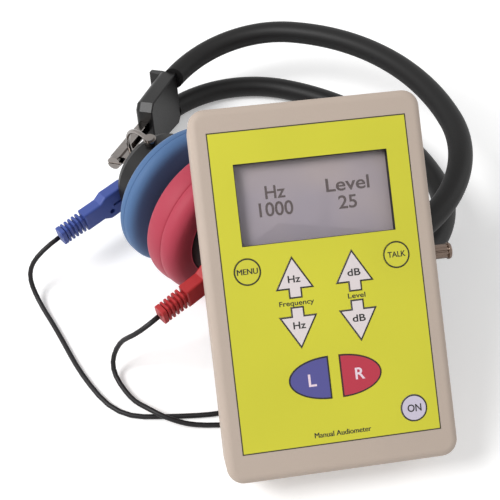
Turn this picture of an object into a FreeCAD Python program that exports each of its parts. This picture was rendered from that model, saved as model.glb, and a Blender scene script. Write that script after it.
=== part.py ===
import FreeCAD, Part
import Sketcher
import math
import os
import re

# Handheld audiometer with its two-band headset, in millimetres.
#
# The keypad unit leans back on the table, its lower rear edge on the table top and its back
# against the fork of the right earphone. The headset lies behind it on its side. Three local
# frames carry the pieces:
#   unit frame   x right, y up the face, z out of the face; origin in the middle of the keypad
#   headset frame  x from the left to the right ear, y to the crown, z up through the two bands
#   side frames  one pair per ear: the slider's (x along the arm) and the earphone's (z outward)
# The document's own frame has the table top as z = 0.

SIZES = (
    # unit
    ("case_width", 103.0, "unit across"),
    ("case_height", 163.2, "unit from end to end"),
    ("case_depth", 34.0, "unit from face to back"),
    ("case_drop", 0.95, "case centre below the keypad centre"),
    ("front_depth", 21.0, "front shell from the face to the parting line"),
    ("case_wall", 2.6, "moulded wall"),
    ("face_wall", 3.0, "moulded wall under the keypad"),
    ("corner_round", 7.5, "corners seen from the front"),
    ("face_round", 3.6, "edge round the face"),
    ("back_round", 6.5, "edge round the back"),
    ("overlay_width", 88.0, "keypad overlay across"),
    ("overlay_height", 139.5, "keypad overlay from end to end"),
    ("overlay_thick", 0.5, "keypad overlay"),
    ("window_width", 68.0, "display window across"),
    ("window_height", 35.8, "display window up and down"),
    ("window_rise", 37.4, "display window centre above the keypad centre"),
    ("lens_margin", 3.0, "lens past the window all round"),
    ("lens_thick", 1.5, "lens plate"),
    ("glass_thick", 2.0, "display glass"),
    ("frame_margin", 4.0, "display frame past the glass all round"),
    ("frame_depth", 4.5, "display frame from front to back"),
    ("round_key", 11.6, "round key across"),
    ("menu_side", 33.0, "menu, talk and power keys from the middle"),
    ("menu_rise", 8.6, "menu and talk keys above the middle"),
    ("power_drop", 59.1, "power key below the middle"),
    ("arrow_side", 13.25, "arrow keys from the middle"),
    ("arrow_width", 16.4, "arrow key head across"),
    ("arrow_head", 14.0, "arrow key head from base to point"),
    ("arrow_shaft", 5.6, "arrow key shaft across"),
    ("arrow_tail", 4.0, "arrow key shaft past the head"),
    ("arrow_up_base", -1.0, "up arrow base line"),
    ("arrow_down_base", -12.9, "down arrow base line"),
    ("tone_side", 2.5, "tone key straight side from the middle"),
    ("tone_drop", 41.0, "tone keys below the middle"),
    ("tone_reach", 17.9, "tone key from straight side to tip"),
    ("tone_height", 18.4, "tone key up and down"),
    ("key_gap", 0.2, "clearance round each key"),
    ("key_thick", 1.3, "key"),
    ("key_proud", 0.1, "key above the overlay"),
    ("key_travel", 0.35, "key travel to its dome"),
    ("dome_radius", 3.4, "switch dome"),
    ("dome_thick", 0.35, "switch dome"),
    ("board_margin", 14.5, "circuit board in from the case side"),
    ("board_width", "=case_width - 2 * board_margin", "circuit board across"),
    ("board_end", 6.6, "circuit board in from the case end"),
    ("board_height", "=case_height - 2 * board_end", "circuit board from end to end"),
    ("board_thick", 1.6, "circuit board"),
    ("board_depth", 15.0, "circuit board behind the face"),
    ("post_radius", 3.2, "board posts"),
    ("post_margin", 4.0, "board posts in from the board side"),
    ("post_side", "=board_width / 2 - post_margin", "board posts from the middle"),
    ("post_end", 9.0, "board posts in from the board end"),
    ("post_rise", "=board_height / 2 - post_end", "board posts up and down from the middle"),
    ("boss_radius", 4.0, "case screw bosses"),
    ("boss_margin", 9.5, "case screws in from the case side"),
    ("boss_side", "=case_width / 2 - boss_margin", "case screws from the middle"),
    ("boss_end", 11.6, "case screws in from the case end"),
    ("boss_rise", "=case_height / 2 - boss_end", "case screws up and down from the middle"),
    ("screw_radius", 1.5, "case screw shank"),
    ("screw_head", 2.9, "case screw head"),
    ("screw_sink", 1.8, "case screw head recess"),
    ("screw_length", 22.0, "case screw under its head"),
    ("foot_radius", 4.4, "rubber foot"),
    ("foot_thick", 1.6, "rubber foot"),
    ("foot_side", 36.6, "rubber feet from the middle"),
    ("foot_rise", 59.0, "rubber feet up and down from the middle"),
    ("cell_radius", 7.05, "battery cell"),
    ("cell_length", 50.0, "battery cell"),
    ("cell_pitch", 14.4, "battery cell spacing"),
    ("cell_drop", 40.0, "battery centre below the keypad centre"),
    ("contact_thick", 0.6, "battery contact strip"),
    ("door_width", 62.0, "battery door across"),
    ("door_height", 57.0, "battery door from end to end"),
    ("door_gap", 0.2, "clearance round the battery door"),
    ("jack_rise", 7.2, "side socket above the middle"),
    ("jack_depth", 14.0, "side socket behind the face"),
    ("jack_radius", 4.6, "side socket bush"),
    ("jack_bore", 3.2, "side socket bore"),
    ("plug_radius", 4.7, "side plug barrel"),
    ("plug_length", 11.5, "side plug barrel"),
    ("plug_pin", 3.13, "side plug pin"),
    ("plug_reach", 11.5, "side plug pin into its socket"),
    ("line_side", 38.0, "line sockets from the middle"),
    ("line_drop", 25.0, "line sockets below the middle"),
    ("line_bush", 4.0, "line socket bush"),
    ("line_pin", 1.75, "line plug pin"),
    # headset
    ("band_radius", 6.3, "vinyl band cover"),
    ("spring_radius", 2.0, "band spring"),
    ("spring_gap", 0.05, "clearance of the spring in its cover"),
    ("crown_reach", 107.4, "crown from the hinge line"),
    ("leg_start", 107.4, "crown reach past which the bands grow straight legs"),
    ("crown_bend", 131.9, "bend radius over the crown"),
    ("crown_angle", 28.0, "half of the crown bend"),
    ("side_bend", 63.9, "bend radius at the sides"),
    ("side_angle", 75.7, "bend at each side"),
    ("band_spread", 15.8, "between the bands at the hinge line"),
    ("band_shift", 5.1, "upper band forward and lower band back in the sliders"),
    ("splay_upper", 7.1, "upper band tilt"),
    ("splay_lower", 7.0, "lower band tilt"),
    ("ear_back", 34.4, "ear axis behind the hinge line"),
    ("ear_rise", 15.45, "ear axis above the band plane"),
    ("left_inset", 3.4, "left earphone nearer to the middle"),
    ("ring_side", 11.45, "widest ring of a cushion from the middle"),
    ("cushion_radius", 38.5, "cushion"),
    ("cushion_face", 5.2, "cushion face ahead of its widest ring"),
    ("cushion_hole", 13.0, "ear hole of a cushion"),
    ("cushion_back", 17.0, "cushion back behind its widest ring"),
    ("soft_gap", 0.3, "clearance of a cushion round its capsule"),
    ("capsule_radius", 24.5, "earphone capsule"),
    ("capsule_front", 2.0, "capsule front behind the widest ring"),
    ("capsule_back", 28.0, "capsule back behind the widest ring"),
    ("capsule_wall", 2.2, "capsule wall"),
    ("cap_thick", 3.0, "capsule back cap"),
    ("driver_thick", 9.0, "driver inside the capsule"),
    ("pivot_back", 21.0, "fork pivots behind the widest ring"),
    ("pivot_radius", 1.6, "fork pivot pin"),
    ("pivot_gap", 0.06, "running clearance of the pivot pins"),
    ("fork_wire", 1.2, "fork wire radius"),
    ("left_fork_corner", 20.0, "round corners of the left fork"),
    ("right_fork_corner", 12.0, "round corners of the right fork"),
    ("fork_gap", 1.2, "fork clear of the capsule side"),
    ("left_fork_base", 46.5, "left fork base behind the widest ring"),
    ("right_fork_base", 36.15, "right fork base behind the widest ring"),
    ("arm_width", 6.0, "arm channel across"),
    ("arm_depth", 5.2, "arm channel from back to open side"),
    ("arm_wall", 0.9, "arm channel sheet"),
    ("arm_start", 20.0, "arm start along the slider axis"),
    ("arm_end", 76.0, "arm end along the slider axis"),
    ("arm_inward", 30.4, "arm leans in from the crown direction"),
    ("arm_rise", 13.0, "arm rises from the band plane"),
    ("arm_gap", 0.08, "running clearance of the arm in its slider"),
    ("slider_side", 94.2, "slider frame from the middle"),
    ("slider_front", 19.7, "slider frame ahead of the hinge line"),
    ("slider_top", 3.0, "slider past its frame toward the bands"),
    ("slider_length", 36.0, "slider from its frame to its tip"),
    ("slider_tall", 16.5, "half of the slider over the bands"),
    ("slider_tip", 6.0, "slider tip below its axis"),
    ("slider_thick", 5.8, "half of the slider through its faces"),
    ("tab_reach", 6.4, "finger tab past the slider face"),
    ("tab_thick", 3.6, "finger tab"),
    ("seat_gap", 0.05, "clearance of the bands in the slider"),
    ("lead_radius", 1.25, "earphone lead"),
    ("lead_out", 43.15, "lead plug centre out from the middle"),
    ("left_seat", 16.6, "left lead plug from the ear axis"),
    ("right_seat", 13.2, "right lead plug from the ear axis"),
    ("left_drop", 4.8, "left lead plug below the ear axis"),
    ("right_drop", 0.2, "right lead plug below the ear axis"),
    ("head_length", 29.3, "lead plug body"),
    ("head_wide", 16.4, "lead plug body across its forked end"),
    ("neck_wide", 11.4, "lead plug body across its neck"),
    ("head_thick", 6.8, "lead plug body through"),
    ("relief_length", 15.2, "ribbed strain relief"),
    ("relief_radius", 5.2, "strain relief ribs"),
    # where the two assemblies stand on the table
    ("unit_turn", 8.37, "unit turned about the vertical"),
    ("unit_lean", 37.82, "unit face up from the level"),
    ("unit_east", 26.0, "keypad centre along x"),
    ("unit_north", -75.5, "keypad centre along y"),
    ("head_turn", -47.76, "headset turned about the vertical"),
    ("head_pitch", -5.92, "headset tipped end to end"),
    ("head_roll", 3.70, "headset tipped to the crown"),
    ("head_east", -8.6, "headset origin along x"),
    ("head_north", 23.7, "headset origin along y"),
)

document = FreeCAD.newDocument("Audiometer")
sheet = document.addObject("Spreadsheet::Sheet", "Sizes")
for row, (alias, value, meaning) in enumerate(SIZES, start=1):
    sheet.set(f"A{row}", alias)
    sheet.set(f"B{row}", str(value))
    sheet.set(f"C{row}", meaning)
    sheet.setAlias(f"B{row}", alias)
document.recompute()
ALIASES = {alias for alias, _, _ in SIZES}
NODES = {}


def size(alias):
    """Value of one cell of the size sheet."""
    return float(sheet.get(alias))


def formula(text):
    """Expression text with every alias pointed at the size sheet."""
    def pointed(match):
        return f"Sizes.{match.group()}" if match.group() in ALIASES else match.group()

    return re.sub(r"[a-z][a-z_]+", pointed, str(text))


def bind(item, **expressions):
    """Bind properties of an object to expressions; a double underscore stands for a dot."""
    for path, text in expressions.items():
        item.setExpression(path.replace("__", "."), formula(text))
    return item


def at(item, place):
    """Bind an object's position to three expressions."""
    return bind(item, Placement__Base__x=place[0], Placement__Base__y=place[1], Placement__Base__z=place[2])


TURNS = {
    "z": FreeCAD.Rotation(),
    "x": FreeCAD.Rotation(FreeCAD.Vector(0, 1, 0), 90),
    "y": FreeCAD.Rotation(FreeCAD.Vector(1, 0, 0), -90),
}


def box(name, corner, lengths):
    """Block from its lowest corner and its three lengths."""
    item = document.addObject("Part::Box", name)
    bind(item, Length=lengths[0], Width=lengths[1], Height=lengths[2])
    return at(item, corner)


def rod(name, base, radius, length, axis="z"):
    """Cylinder from the centre of its base along one axis."""
    item = document.addObject("Part::Cylinder", name)
    item.Placement.Rotation = TURNS[axis]
    bind(item, Radius=radius, Height=length)
    return at(item, base)


def cut(name, base, *tools):
    """Base less its tools."""
    tool = tools[0] if len(tools) == 1 else group(name + "_tools", *tools)
    item = document.addObject("Part::Cut", name)
    item.Base = base
    item.Tool = tool
    return item


def join(name, *pieces):
    """Pieces fused into one solid."""
    item = document.addObject("Part::MultiFuse", name)
    item.Shapes = list(pieces)
    return item


def group(name, *pieces):
    """Separate solids kept together."""
    item = document.addObject("Part::Compound", name)
    item.Links = list(pieces)
    return item


def node(item, label, frame):
    """Name a finished sub-part and note the frame that it stands in."""
    if item.TypeId in ("Part::Box", "Part::Cylinder"):
        item = group(label + "_solid", item)
    item.Label = label
    NODES[label] = (item, frame)
    return item


class Body:
    """A PartDesign body built from sketches on its own origin planes."""

    def __init__(self, name):
        self.name = name
        self.body = document.addObject("PartDesign::Body", name + "_body")
        self.count = 0

    def plane(self, role):
        return next(item for item in self.body.Origin.OriginFeatures if item.Role == role)

    def sketch(self, role="XY_Plane", lift="0"):
        self.count += 1
        item = self.body.newObject("Sketcher::SketchObject", f"{self.name}_sketch{self.count}")
        item.AttachmentSupport = [(self.plane(role), "")]
        item.MapMode = "FlatFace"
        if lift != "0":
            item.setExpression("AttachmentOffset.Base.z", formula(lift))
        return item

    def polygon(self, points, role="XY_Plane", lift="0", item=None):
        """Closed outline whose corners are bound to expressions."""
        item = item or self.sketch(role, lift)
        place_outline(item, points)
        return item

    def circles(self, centres, radius, role="XY_Plane", lift="0"):
        """Circles of one radius whose centres are bound to expressions."""
        item = self.sketch(role, lift)
        for centre in centres:
            place_circle(item, centre, radius)
        return item

    def feature(self, kind, sketch, length="0", **settings):
        self.count += 1
        item = self.body.newObject("PartDesign::" + kind, f"{self.name}_{kind.lower()}{self.count}")
        item.Profile = sketch
        for key, value in settings.items():
            setattr(item, key, value)
        if kind in ("Pad", "Pocket") and length != "0":
            item.setExpression("Length", formula(length))
        sketch.Visibility = False
        document.recompute()
        return item

    def pad(self, sketch, length, down=False):
        return self.feature("Pad", sketch, length, Reversed=down)

    def pocket(self, sketch, length, up=False):
        return self.feature("Pocket", sketch, length, Reversed=up)

    def turn(self, sketch, axis="V_Axis"):
        return self.feature("Revolution", sketch, ReferenceAxis=(sketch, [axis]), Angle=360.0)

    def soften(self, kind, amount, wanted):
        """Fillet or chamfer of the edges that a test on their middle and ends picks."""
        tip = self.body.Tip
        names = [f"Edge{n}" for n, edge in enumerate(tip.Shape.Edges, start=1) if wanted(edge)]
        self.count += 1
        item = self.body.newObject("PartDesign::" + kind, f"{self.name}_{kind.lower()}{self.count}")
        item.Base = (tip, names)
        item.setExpression("Radius" if kind == "Fillet" else "Size", formula(amount))
        document.recompute()
        return item


def estimate(text):
    """Number that an expression has now, as the first guess of a sketch."""
    return float(sheet.evalExpression(formula(text)))


def place_point(item, geometry, corner, place, tag):
    """Bind one sketch point to two expressions."""
    for kind, axis, text in (("DistanceX", -2, place[0]), ("DistanceY", -1, place[1])):
        if str(text) == "0":
            item.addConstraint(Sketcher.Constraint("PointOnObject", geometry, corner, axis))
            continue
        name = f"{tag}{kind[-1]}"
        index = item.addConstraint(Sketcher.Constraint(kind, -1, 1, geometry, corner, estimate(text)))
        item.renameConstraint(index, name)
        item.setExpression(f"Constraints.{name}", formula(text))


def place_outline(item, points):
    """Closed polygon with every corner bound."""
    spots = [FreeCAD.Vector(estimate(x), estimate(y), 0) for x, y in points]
    first = item.GeometryCount
    total = len(spots)
    for index in range(total):
        item.addGeometry(Part.LineSegment(spots[index], spots[(index + 1) % total]))
    for index in range(total):
        following = first + (index + 1) % total
        item.addConstraint(Sketcher.Constraint("Coincident", first + index, 2, following, 1))
    for index, place in enumerate(points):
        place_point(item, first + index, 1, place, f"p{first + index}")


def place_circle(item, centre, radius):
    """Circle with its centre and radius bound."""
    spot = FreeCAD.Vector(estimate(centre[0]), estimate(centre[1]), 0)
    index = item.addGeometry(Part.Circle(spot, FreeCAD.Vector(0, 0, 1), estimate(radius)))
    number = item.addConstraint(Sketcher.Constraint("Radius", index, estimate(radius)))
    item.renameConstraint(number, f"r{index}")
    item.setExpression(f"Constraints.r{index}", formula(radius))
    place_point(item, index, 3, centre, f"c{index}")


def rectangle(width, height, x="0", y="0"):
    """Corners of a rectangle about a centre."""
    left, right = f"({x}) - ({width}) / 2", f"({x}) + ({width}) / 2"
    low, high = f"({y}) - ({height}) / 2", f"({y}) + ({height}) / 2"
    return [(left, low), (right, low), (right, high), (left, high)]


def upright(edge):
    """Edge that runs along z."""
    run = edge.Vertexes[0].Point - edge.Vertexes[-1].Point
    return abs(run.x) < 1e-4 and abs(run.y) < 1e-4 and abs(run.z) > 1e-3


def level_at(height):
    """Test for edges that lie in one level plane."""
    return lambda edge: abs(edge.BoundBox.ZMin - height) < 1e-4 and abs(edge.BoundBox.ZMax - height) < 1e-4


def four(side, rise, drop="case_drop"):
    """Four places, left and right, up and down about the case centre."""
    return [(f"{sx}{side}", f"{sy}{rise} - {drop}") for sx in ("", "-") for sy in ("", "-")]


# ---------------------------------------------------------------- keys
def arrow(side, base, way):
    """Corners of an arrow key: its base line, and +1 or -1 for the way it points."""
    tail = f"({base}) - ({way}) * arrow_tail"
    tip = f"({base}) + ({way}) * arrow_head"
    middle = f"({side}) * arrow_side"
    return [
        (f"{middle} - arrow_shaft / 2", tail), (f"{middle} + arrow_shaft / 2", tail),
        (f"{middle} + arrow_shaft / 2", base), (f"{middle} + arrow_width / 2", base),
        (middle, tip), (f"{middle} - arrow_width / 2", base), (f"{middle} - arrow_shaft / 2", base),
    ]


ROUND_KEYS = {
    "menu_key": ("-menu_side", "menu_rise"),
    "talk_key": ("menu_side", "menu_rise"),
    "power_key": ("menu_side", "-power_drop"),
}
ARROW_KEYS = {
    "frequency_up_key": ("-1", "arrow_up_base", "1"),
    "frequency_down_key": ("-1", "arrow_down_base", "-1"),
    "level_up_key": ("1", "arrow_up_base", "1"),
    "level_down_key": ("1", "arrow_down_base", "-1"),
}
TONE_KEYS = {"left_tone_key": -1, "right_tone_key": 1}


def grown(points, way, gap):
    """Arrow outline moved outward by the key clearance, corner by corner."""
    moved = []
    for index, (x, y) in enumerate(points):
        sign_x = (-1, 1, 1, 1, 0, -1, -1)[index]
        sign_y = (-1, -1, -1, -1, 1, -1, -1)[index]
        reach_x, reach_y = (1.0, 1.0)
        if index in (3, 5):
            reach_x = 1.7
        if index == 4:
            reach_y = 1.9
        moved.append((f"{x} + ({sign_x} * {reach_x}) * ({gap})",
                      f"{y} + ({sign_y} * {reach_y}) * ({gap}) * ({way})"))
    return moved


def half_oval(sketch, side, gap):
    """Half oval with its straight side near the middle, on one sketch."""
    flat = estimate(f"{side} * (tone_side - ({gap}))")
    reach = estimate(f"tone_reach + 2 * ({gap})")
    half = estimate(f"tone_height / 2 + ({gap})")
    drop = estimate("-tone_drop")
    oval = Part.Ellipse(FreeCAD.Vector(flat, drop, 0), reach, half)
    start, end = (math.pi / 2, 1.5 * math.pi) if side < 0 else (-math.pi / 2, math.pi / 2)
    curve = sketch.addGeometry(Part.ArcOfEllipse(oval, start, end))
    chord = sketch.addGeometry(Part.LineSegment(
        FreeCAD.Vector(flat, drop + half * (1 if side < 0 else -1), 0),
        FreeCAD.Vector(flat, drop - half * (1 if side < 0 else -1), 0)))
    sketch.exposeInternalGeometry(curve)
    sketch.addConstraint(Sketcher.Constraint("Coincident", curve, 1, chord, 1))
    sketch.addConstraint(Sketcher.Constraint("Coincident", curve, 2, chord, 2))
    sketch.addConstraint(Sketcher.Constraint("Vertical", chord))
    sketch.addConstraint(Sketcher.Constraint("PointOnObject", curve, 3, chord))
    place_point(sketch, curve, 3, (f"{side} * (tone_side - ({gap}))", "-tone_drop"), f"o{curve}")
    number = sketch.addConstraint(Sketcher.Constraint("Distance", chord, 2 * half))
    sketch.renameConstraint(number, f"h{curve}")
    sketch.setExpression(f"Constraints.h{curve}", formula(f"tone_height + 2 * ({gap})"))
    major = chord + 1
    number = sketch.addConstraint(Sketcher.Constraint("Distance", major, 2 * reach))
    sketch.renameConstraint(number, f"w{curve}")
    sketch.setExpression(f"Constraints.w{curve}", formula(f"2 * (tone_reach + 2 * ({gap}))"))


def key_openings(piece, depth):
    """Pockets for all nine keys, cut down from the face."""
    piece.pocket(piece.circles(ROUND_KEYS.values(), "round_key / 2 + key_gap"), depth)
    for side, base, way in ARROW_KEYS.values():
        points = grown(arrow(side, base, way), way, "key_gap")
        piece.pocket(piece.polygon(points), depth)
    for side in TONE_KEYS.values():
        sketch = piece.sketch()
        half_oval(sketch, side, "key_gap")
        piece.pocket(sketch, depth)


def key(label, draw):
    """One key: a flat cap whose outline a function draws."""
    piece = Body(label)
    sketch = piece.sketch(lift="key_proud")
    draw(sketch)
    piece.pad(sketch, "key_thick", down=True)
    node(piece.body, label, "unit")
    return piece


for label, centre in ROUND_KEYS.items():
    key(label, lambda sketch, centre=centre: place_circle(sketch, centre, "round_key / 2"))
for label, (side, base, way) in ARROW_KEYS.items():
    key(label, lambda sketch, corners=arrow(side, base, way): place_outline(sketch, corners))
for label, side in TONE_KEYS.items():
    key(label, lambda sketch, side=side: half_oval(sketch, side, "0"))

# ---------------------------------------------------------------- shells
WELL = "key_thick - key_proud + key_travel + dome_thick"
CAVITY = ("case_width - 2 * case_wall", "case_height - 2 * case_wall")
front = Body("front_shell")
front.pad(front.polygon(rectangle("case_width", "case_height", y="-case_drop")), "front_depth", down=True)
front.soften("Fillet", "corner_round", upright)
front.soften("Fillet", "face_round", level_at(0.0))
front.pocket(front.polygon(rectangle(*CAVITY, y="-case_drop"), lift="-front_depth"),
             "front_depth - face_wall", up=True)
front.pocket(front.polygon(rectangle("window_width", "window_height", y="window_rise")), "face_wall + 1")
front.pocket(front.polygon(rectangle("overlay_width + key_gap", "overlay_height + key_gap")), "overlay_thick")
key_openings(front, WELL)
SCREWS = four("boss_side", "boss_rise")
front.pad(front.circles(SCREWS, "boss_radius", lift="-face_wall"),
          "front_depth - face_wall", down=True)
POSTS = four("post_side", "post_rise", "0")
front.pad(front.circles(POSTS, "post_radius", lift="-face_wall"),
          "board_depth - face_wall", down=True)
front.pocket(front.circles(SCREWS, "screw_radius + 0.06", lift="-front_depth"),
             "front_depth - face_wall - 2", up=True)
front.pocket(front.circles([("jack_rise", "-jack_depth")], "jack_radius + 0.1", role="YZ_Plane",
                           lift="case_width / 2 + 1"), "case_wall + 2")
node(front.body, "front_shell", "unit")

rear = Body("rear_shell")
rear.pad(rear.polygon(rectangle("case_width", "case_height", y="-case_drop"), lift="-front_depth"),
         "case_depth - front_depth", down=True)
rear.soften("Fillet", "corner_round", upright)
rear.soften("Fillet", "back_round", level_at(-size("case_depth")))
rear.pocket(rear.polygon(rectangle(*CAVITY, y="-case_drop"), lift="-front_depth"),
            "case_depth - front_depth - case_wall")
rear.pad(rear.circles(SCREWS, "boss_radius", lift="-front_depth"),
         "case_depth - front_depth - case_wall", down=True)
rear.pocket(rear.circles(SCREWS, "screw_radius + 0.1", lift="-front_depth"),
            "case_depth - front_depth + 1")
rear.pocket(rear.circles(SCREWS, "screw_head + 0.15", lift="-case_depth"),
            "screw_sink", up=True)
rear.pocket(rear.polygon(rectangle("door_width", "door_height", y="-cell_drop"), lift="-case_depth"),
            "case_wall / 2 + door_gap / 2", up=True)
rear.pocket(rear.polygon(rectangle("door_width - 6", "door_height - 6", y="-cell_drop"), lift="-case_depth"),
            "case_wall + 1", up=True)
rear.pocket(rear.circles([("line_side", "-line_drop"), ("-line_side", "-line_drop")], "line_bush + 0.1",
                         lift="-case_depth"), "case_wall + 1", up=True)
node(rear.body, "rear_shell", "unit")

door = Body("battery_door")
door.pad(door.polygon(rectangle("door_width - 2 * door_gap", "door_height - 2 * door_gap", y="-cell_drop"),
                      lift="-case_depth"), "case_wall / 2")
door.body.Tip.Reversed = False
for step in range(5):
    line = f"-cell_drop + door_height / 2 - 8 - {3 * step}"
    door.pocket(door.polygon(rectangle("door_width / 3", "1.2", y=line), lift="-case_depth"), "0.5", up=True)
node(door.body, "battery_door", "unit")

overlay = Body("keypad_overlay")
overlay.pad(overlay.polygon(rectangle("overlay_width", "overlay_height")), "overlay_thick", down=True)
overlay.pocket(overlay.polygon(rectangle("window_width", "window_height", y="window_rise")),
               "overlay_thick + 1")
key_openings(overlay, "overlay_thick + 1")
node(overlay.body, "keypad_overlay", "unit")

# ---------------------------------------------------------------- display, board and cells
LENS = ("window_width + 2 * lens_margin", "window_height + 2 * lens_margin")


def plate(name, width, height, rise, top, thick):
    """Flat plate about a centre line, from its top face down."""
    return box(name, (f"-({width}) / 2", f"({rise}) - ({height}) / 2", f"({top}) - ({thick})"),
               (width, height, thick))


node(plate("lens", *LENS, "window_rise", "-face_wall", "lens_thick"), "window_lens", "unit")
GLASS_TOP = "-face_wall - lens_thick"
node(plate("glass", *LENS, "window_rise", GLASS_TOP, "glass_thick"), "lcd_glass", "unit")
FRAME = (LENS[0] + " + 2 * frame_margin", LENS[1] + " + 2 * frame_margin")
frame = plate("frame_block", *FRAME, "window_rise", GLASS_TOP, "frame_depth")
frame_pocket = plate("frame_pocket", LENS[0] + " + 0.1", LENS[1] + " + 0.1", "window_rise",
                     GLASS_TOP + " + 1", "glass_thick + 1")
node(cut("frame_cut", frame, frame_pocket), "lcd_frame", "unit")
SPACER = "board_depth - face_wall - lens_thick - frame_depth"
spacers = [rod(f"spacer{n}", (f"{sx} * (window_width / 2)", f"window_rise + {sy} * (window_height / 2)",
                              "-board_depth"), "2.4", SPACER)
           for n, (sx, sy) in enumerate(((1, 1), (-1, 1), (1, -1), (-1, -1)))]
node(group("spacer_group", *spacers), "display_spacers", "unit")
node(plate("board", "board_width", "board_height", "0", "-board_depth", "board_thick"), "main_board", "unit")
chips = [plate(f"chip{n}", wide, tall, rise, "-board_depth + 2", "2")
         for n, (wide, tall, rise) in enumerate((("14", "14", "0"), ("20", "8", "-22"), ("10", "16", "-44")))]
node(group("chip_group", *chips), "board_chips", "unit")

DOMES = list(ROUND_KEYS.values())
DOMES += [(f"({side}) * arrow_side", f"({base}) + ({way}) * arrow_head / 3")
          for side, base, way in ARROW_KEYS.values()]
DOMES += [(f"({side}) * (tone_side + tone_reach / 2.4)", "-tone_drop") for side in TONE_KEYS.values()]
domes = [rod(f"dome{n}", (x, y, f"-({WELL})"), "dome_radius", "dome_thick") for n, (x, y) in enumerate(DOMES)]
node(group("dome_group", *domes), "key_domes", "unit")

CELL_LEVEL = "-board_depth - board_thick - 0.4 - cell_radius"
cells = []
for n in range(4):
    side = f"({n} - 1.5) * cell_pitch"
    foot = (side, "-cell_drop - cell_length / 2", CELL_LEVEL)
    can = rod(f"can{n}", foot, "cell_radius", "cell_length", "y")
    nub = rod(f"nub{n}", (side, "-cell_drop + cell_length / 2", CELL_LEVEL), "cell_radius * 0.38", "1", "y")
    cells.append(join(f"cell{n}", can, nub))
node(group("cell_group", *cells), "battery_cells", "unit")
STRIP_TALL = "case_depth - case_wall - board_depth - board_thick - 0.5"
strips = [box(f"strip{n}", ("-2 * cell_pitch", place, "-case_depth + case_wall"),
              ("4 * cell_pitch", "contact_thick", STRIP_TALL))
          for n, place in enumerate(("-cell_drop - cell_length / 2 - 0.3 - contact_thick",
                                     "-cell_drop + cell_length / 2 + 1.3"))]
node(group("strip_group", *strips), "battery_contacts", "unit")

# ---------------------------------------------------------------- fasteners, feet and sockets
screws = []
for n, (x, y) in enumerate(SCREWS):
    head = rod(f"screw_head{n}", (x, y, "-case_depth + 0.1"), "screw_head", "screw_sink - 0.1")
    shank = rod(f"screw_shank{n}", (x, y, "-case_depth + screw_sink"), "screw_radius", "screw_length")
    corner = (f"{x} - screw_head", f"{y} - 0.4", "-case_depth")
    slot = box(f"screw_slot{n}", corner, ("2 * screw_head", "0.8", "0.9"))
    screws.append(cut(f"screw{n}", join(f"screw_blank{n}", head, shank), slot))
node(group("screw_group", *screws), "case_screws", "unit")
feet = [rod(f"foot{n}", (x, y, "-case_depth - foot_thick"), "foot_radius", "foot_thick")
        for n, (x, y) in enumerate(four("foot_side", "foot_rise"))]
node(group("foot_group", *feet), "rubber_feet", "unit")

JACK = ("jack_rise", "-jack_depth")
bush = rod("jack_bush", ("case_width / 2 - plug_reach - 2", *JACK), "jack_radius", "plug_reach + 2.8", "x")
nut = rod("jack_nut", ("case_width / 2 + 0.02", *JACK), "jack_radius + 1.3", "0.78", "x")
bore = rod("jack_hole", ("case_width / 2 - plug_reach - 0.5", *JACK), "jack_bore", "plug_reach + 2", "x")
node(cut("jack_cut", join("jack_blank", bush, nut), bore), "side_socket", "unit")

plug = Body("side_plug")
PLUG_START = "case_width / 2 + 1"
plug.turn(plug.polygon([
    ("0", f"{PLUG_START} - plug_reach"), ("plug_pin - 0.8", f"{PLUG_START} - plug_reach"),
    ("plug_pin", f"{PLUG_START} - plug_reach + 1.5"), ("plug_pin", PLUG_START), ("plug_radius", PLUG_START),
    ("plug_radius", f"{PLUG_START} + plug_length - 2.4"),
    ("plug_radius + 0.7", f"{PLUG_START} + plug_length - 2.0"),
    ("plug_radius + 0.7", f"{PLUG_START} + plug_length - 0.9"),
    ("plug_radius - 0.6", f"{PLUG_START} + plug_length"),
    ("0", f"{PLUG_START} + plug_length + 0.4")], role="XZ_Plane"))
groove = plug.circles([("plug_radius + 0.25", "0")], "0.55", lift=f"{PLUG_START} + plug_length - 2.9")
flute = plug.pocket(groove, "plug_length - 3.6")
pattern = plug.body.newObject("PartDesign::PolarPattern", "side_plug_flutes")
pattern.Originals = [flute]
pattern.Axis = (plug.plane("Z_Axis"), [""])
pattern.Angle = 360.0
pattern.Occurrences = 16
plug.body.Tip = pattern
node(plug.body, "side_plug", "plug")

bushes, line_plugs = [], []
for n, side in enumerate(("-1", "1")):
    spot = (f"({side}) * line_side", "-line_drop")
    sleeve = rod(f"line_sleeve{n}", (*spot, "-case_depth"), "line_bush", "case_wall + 8")
    hole = rod(f"line_hole{n}", (*spot, "-case_depth - 1"), "line_pin + 0.05", "case_wall + 8")
    bushes.append(cut(f"line_socket{n}", sleeve, hole))
node(group("line_socket_group", *bushes), "line_sockets", "unit")
for label, side in (("left_line_plug", "-1"), ("right_line_plug", "1")):
    spot = (f"({side}) * line_side", "-line_drop")
    pin = rod(label + "_pin", (*spot, "-case_depth - 1"), "line_pin", "case_wall + 7")
    barrel = rod(label + "_barrel", (*spot, "-case_depth - 10"), "4.2", "9.8")
    boot = rod(label + "_boot", (*spot, "-case_depth - 15"), "2.6", "5.5")
    node(join(label + "_join", pin, barrel, boot), label, "unit")

# ---------------------------------------------------------------- frames of the headset
Vector, Rotation, Placement = FreeCAD.Vector, FreeCAD.Rotation, FreeCAD.Placement
SIDES = {"left": -1, "right": 1}


def slider_frame(side):
    """Frame of one slider: x along the arm, y across it, z up through the bands."""
    turn = -90 - side * size("arm_inward")
    corner = Vector(side * size("slider_side"), size("slider_front"), 0)
    return Placement(corner, Rotation(turn, -size("arm_rise"), 0))


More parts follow.
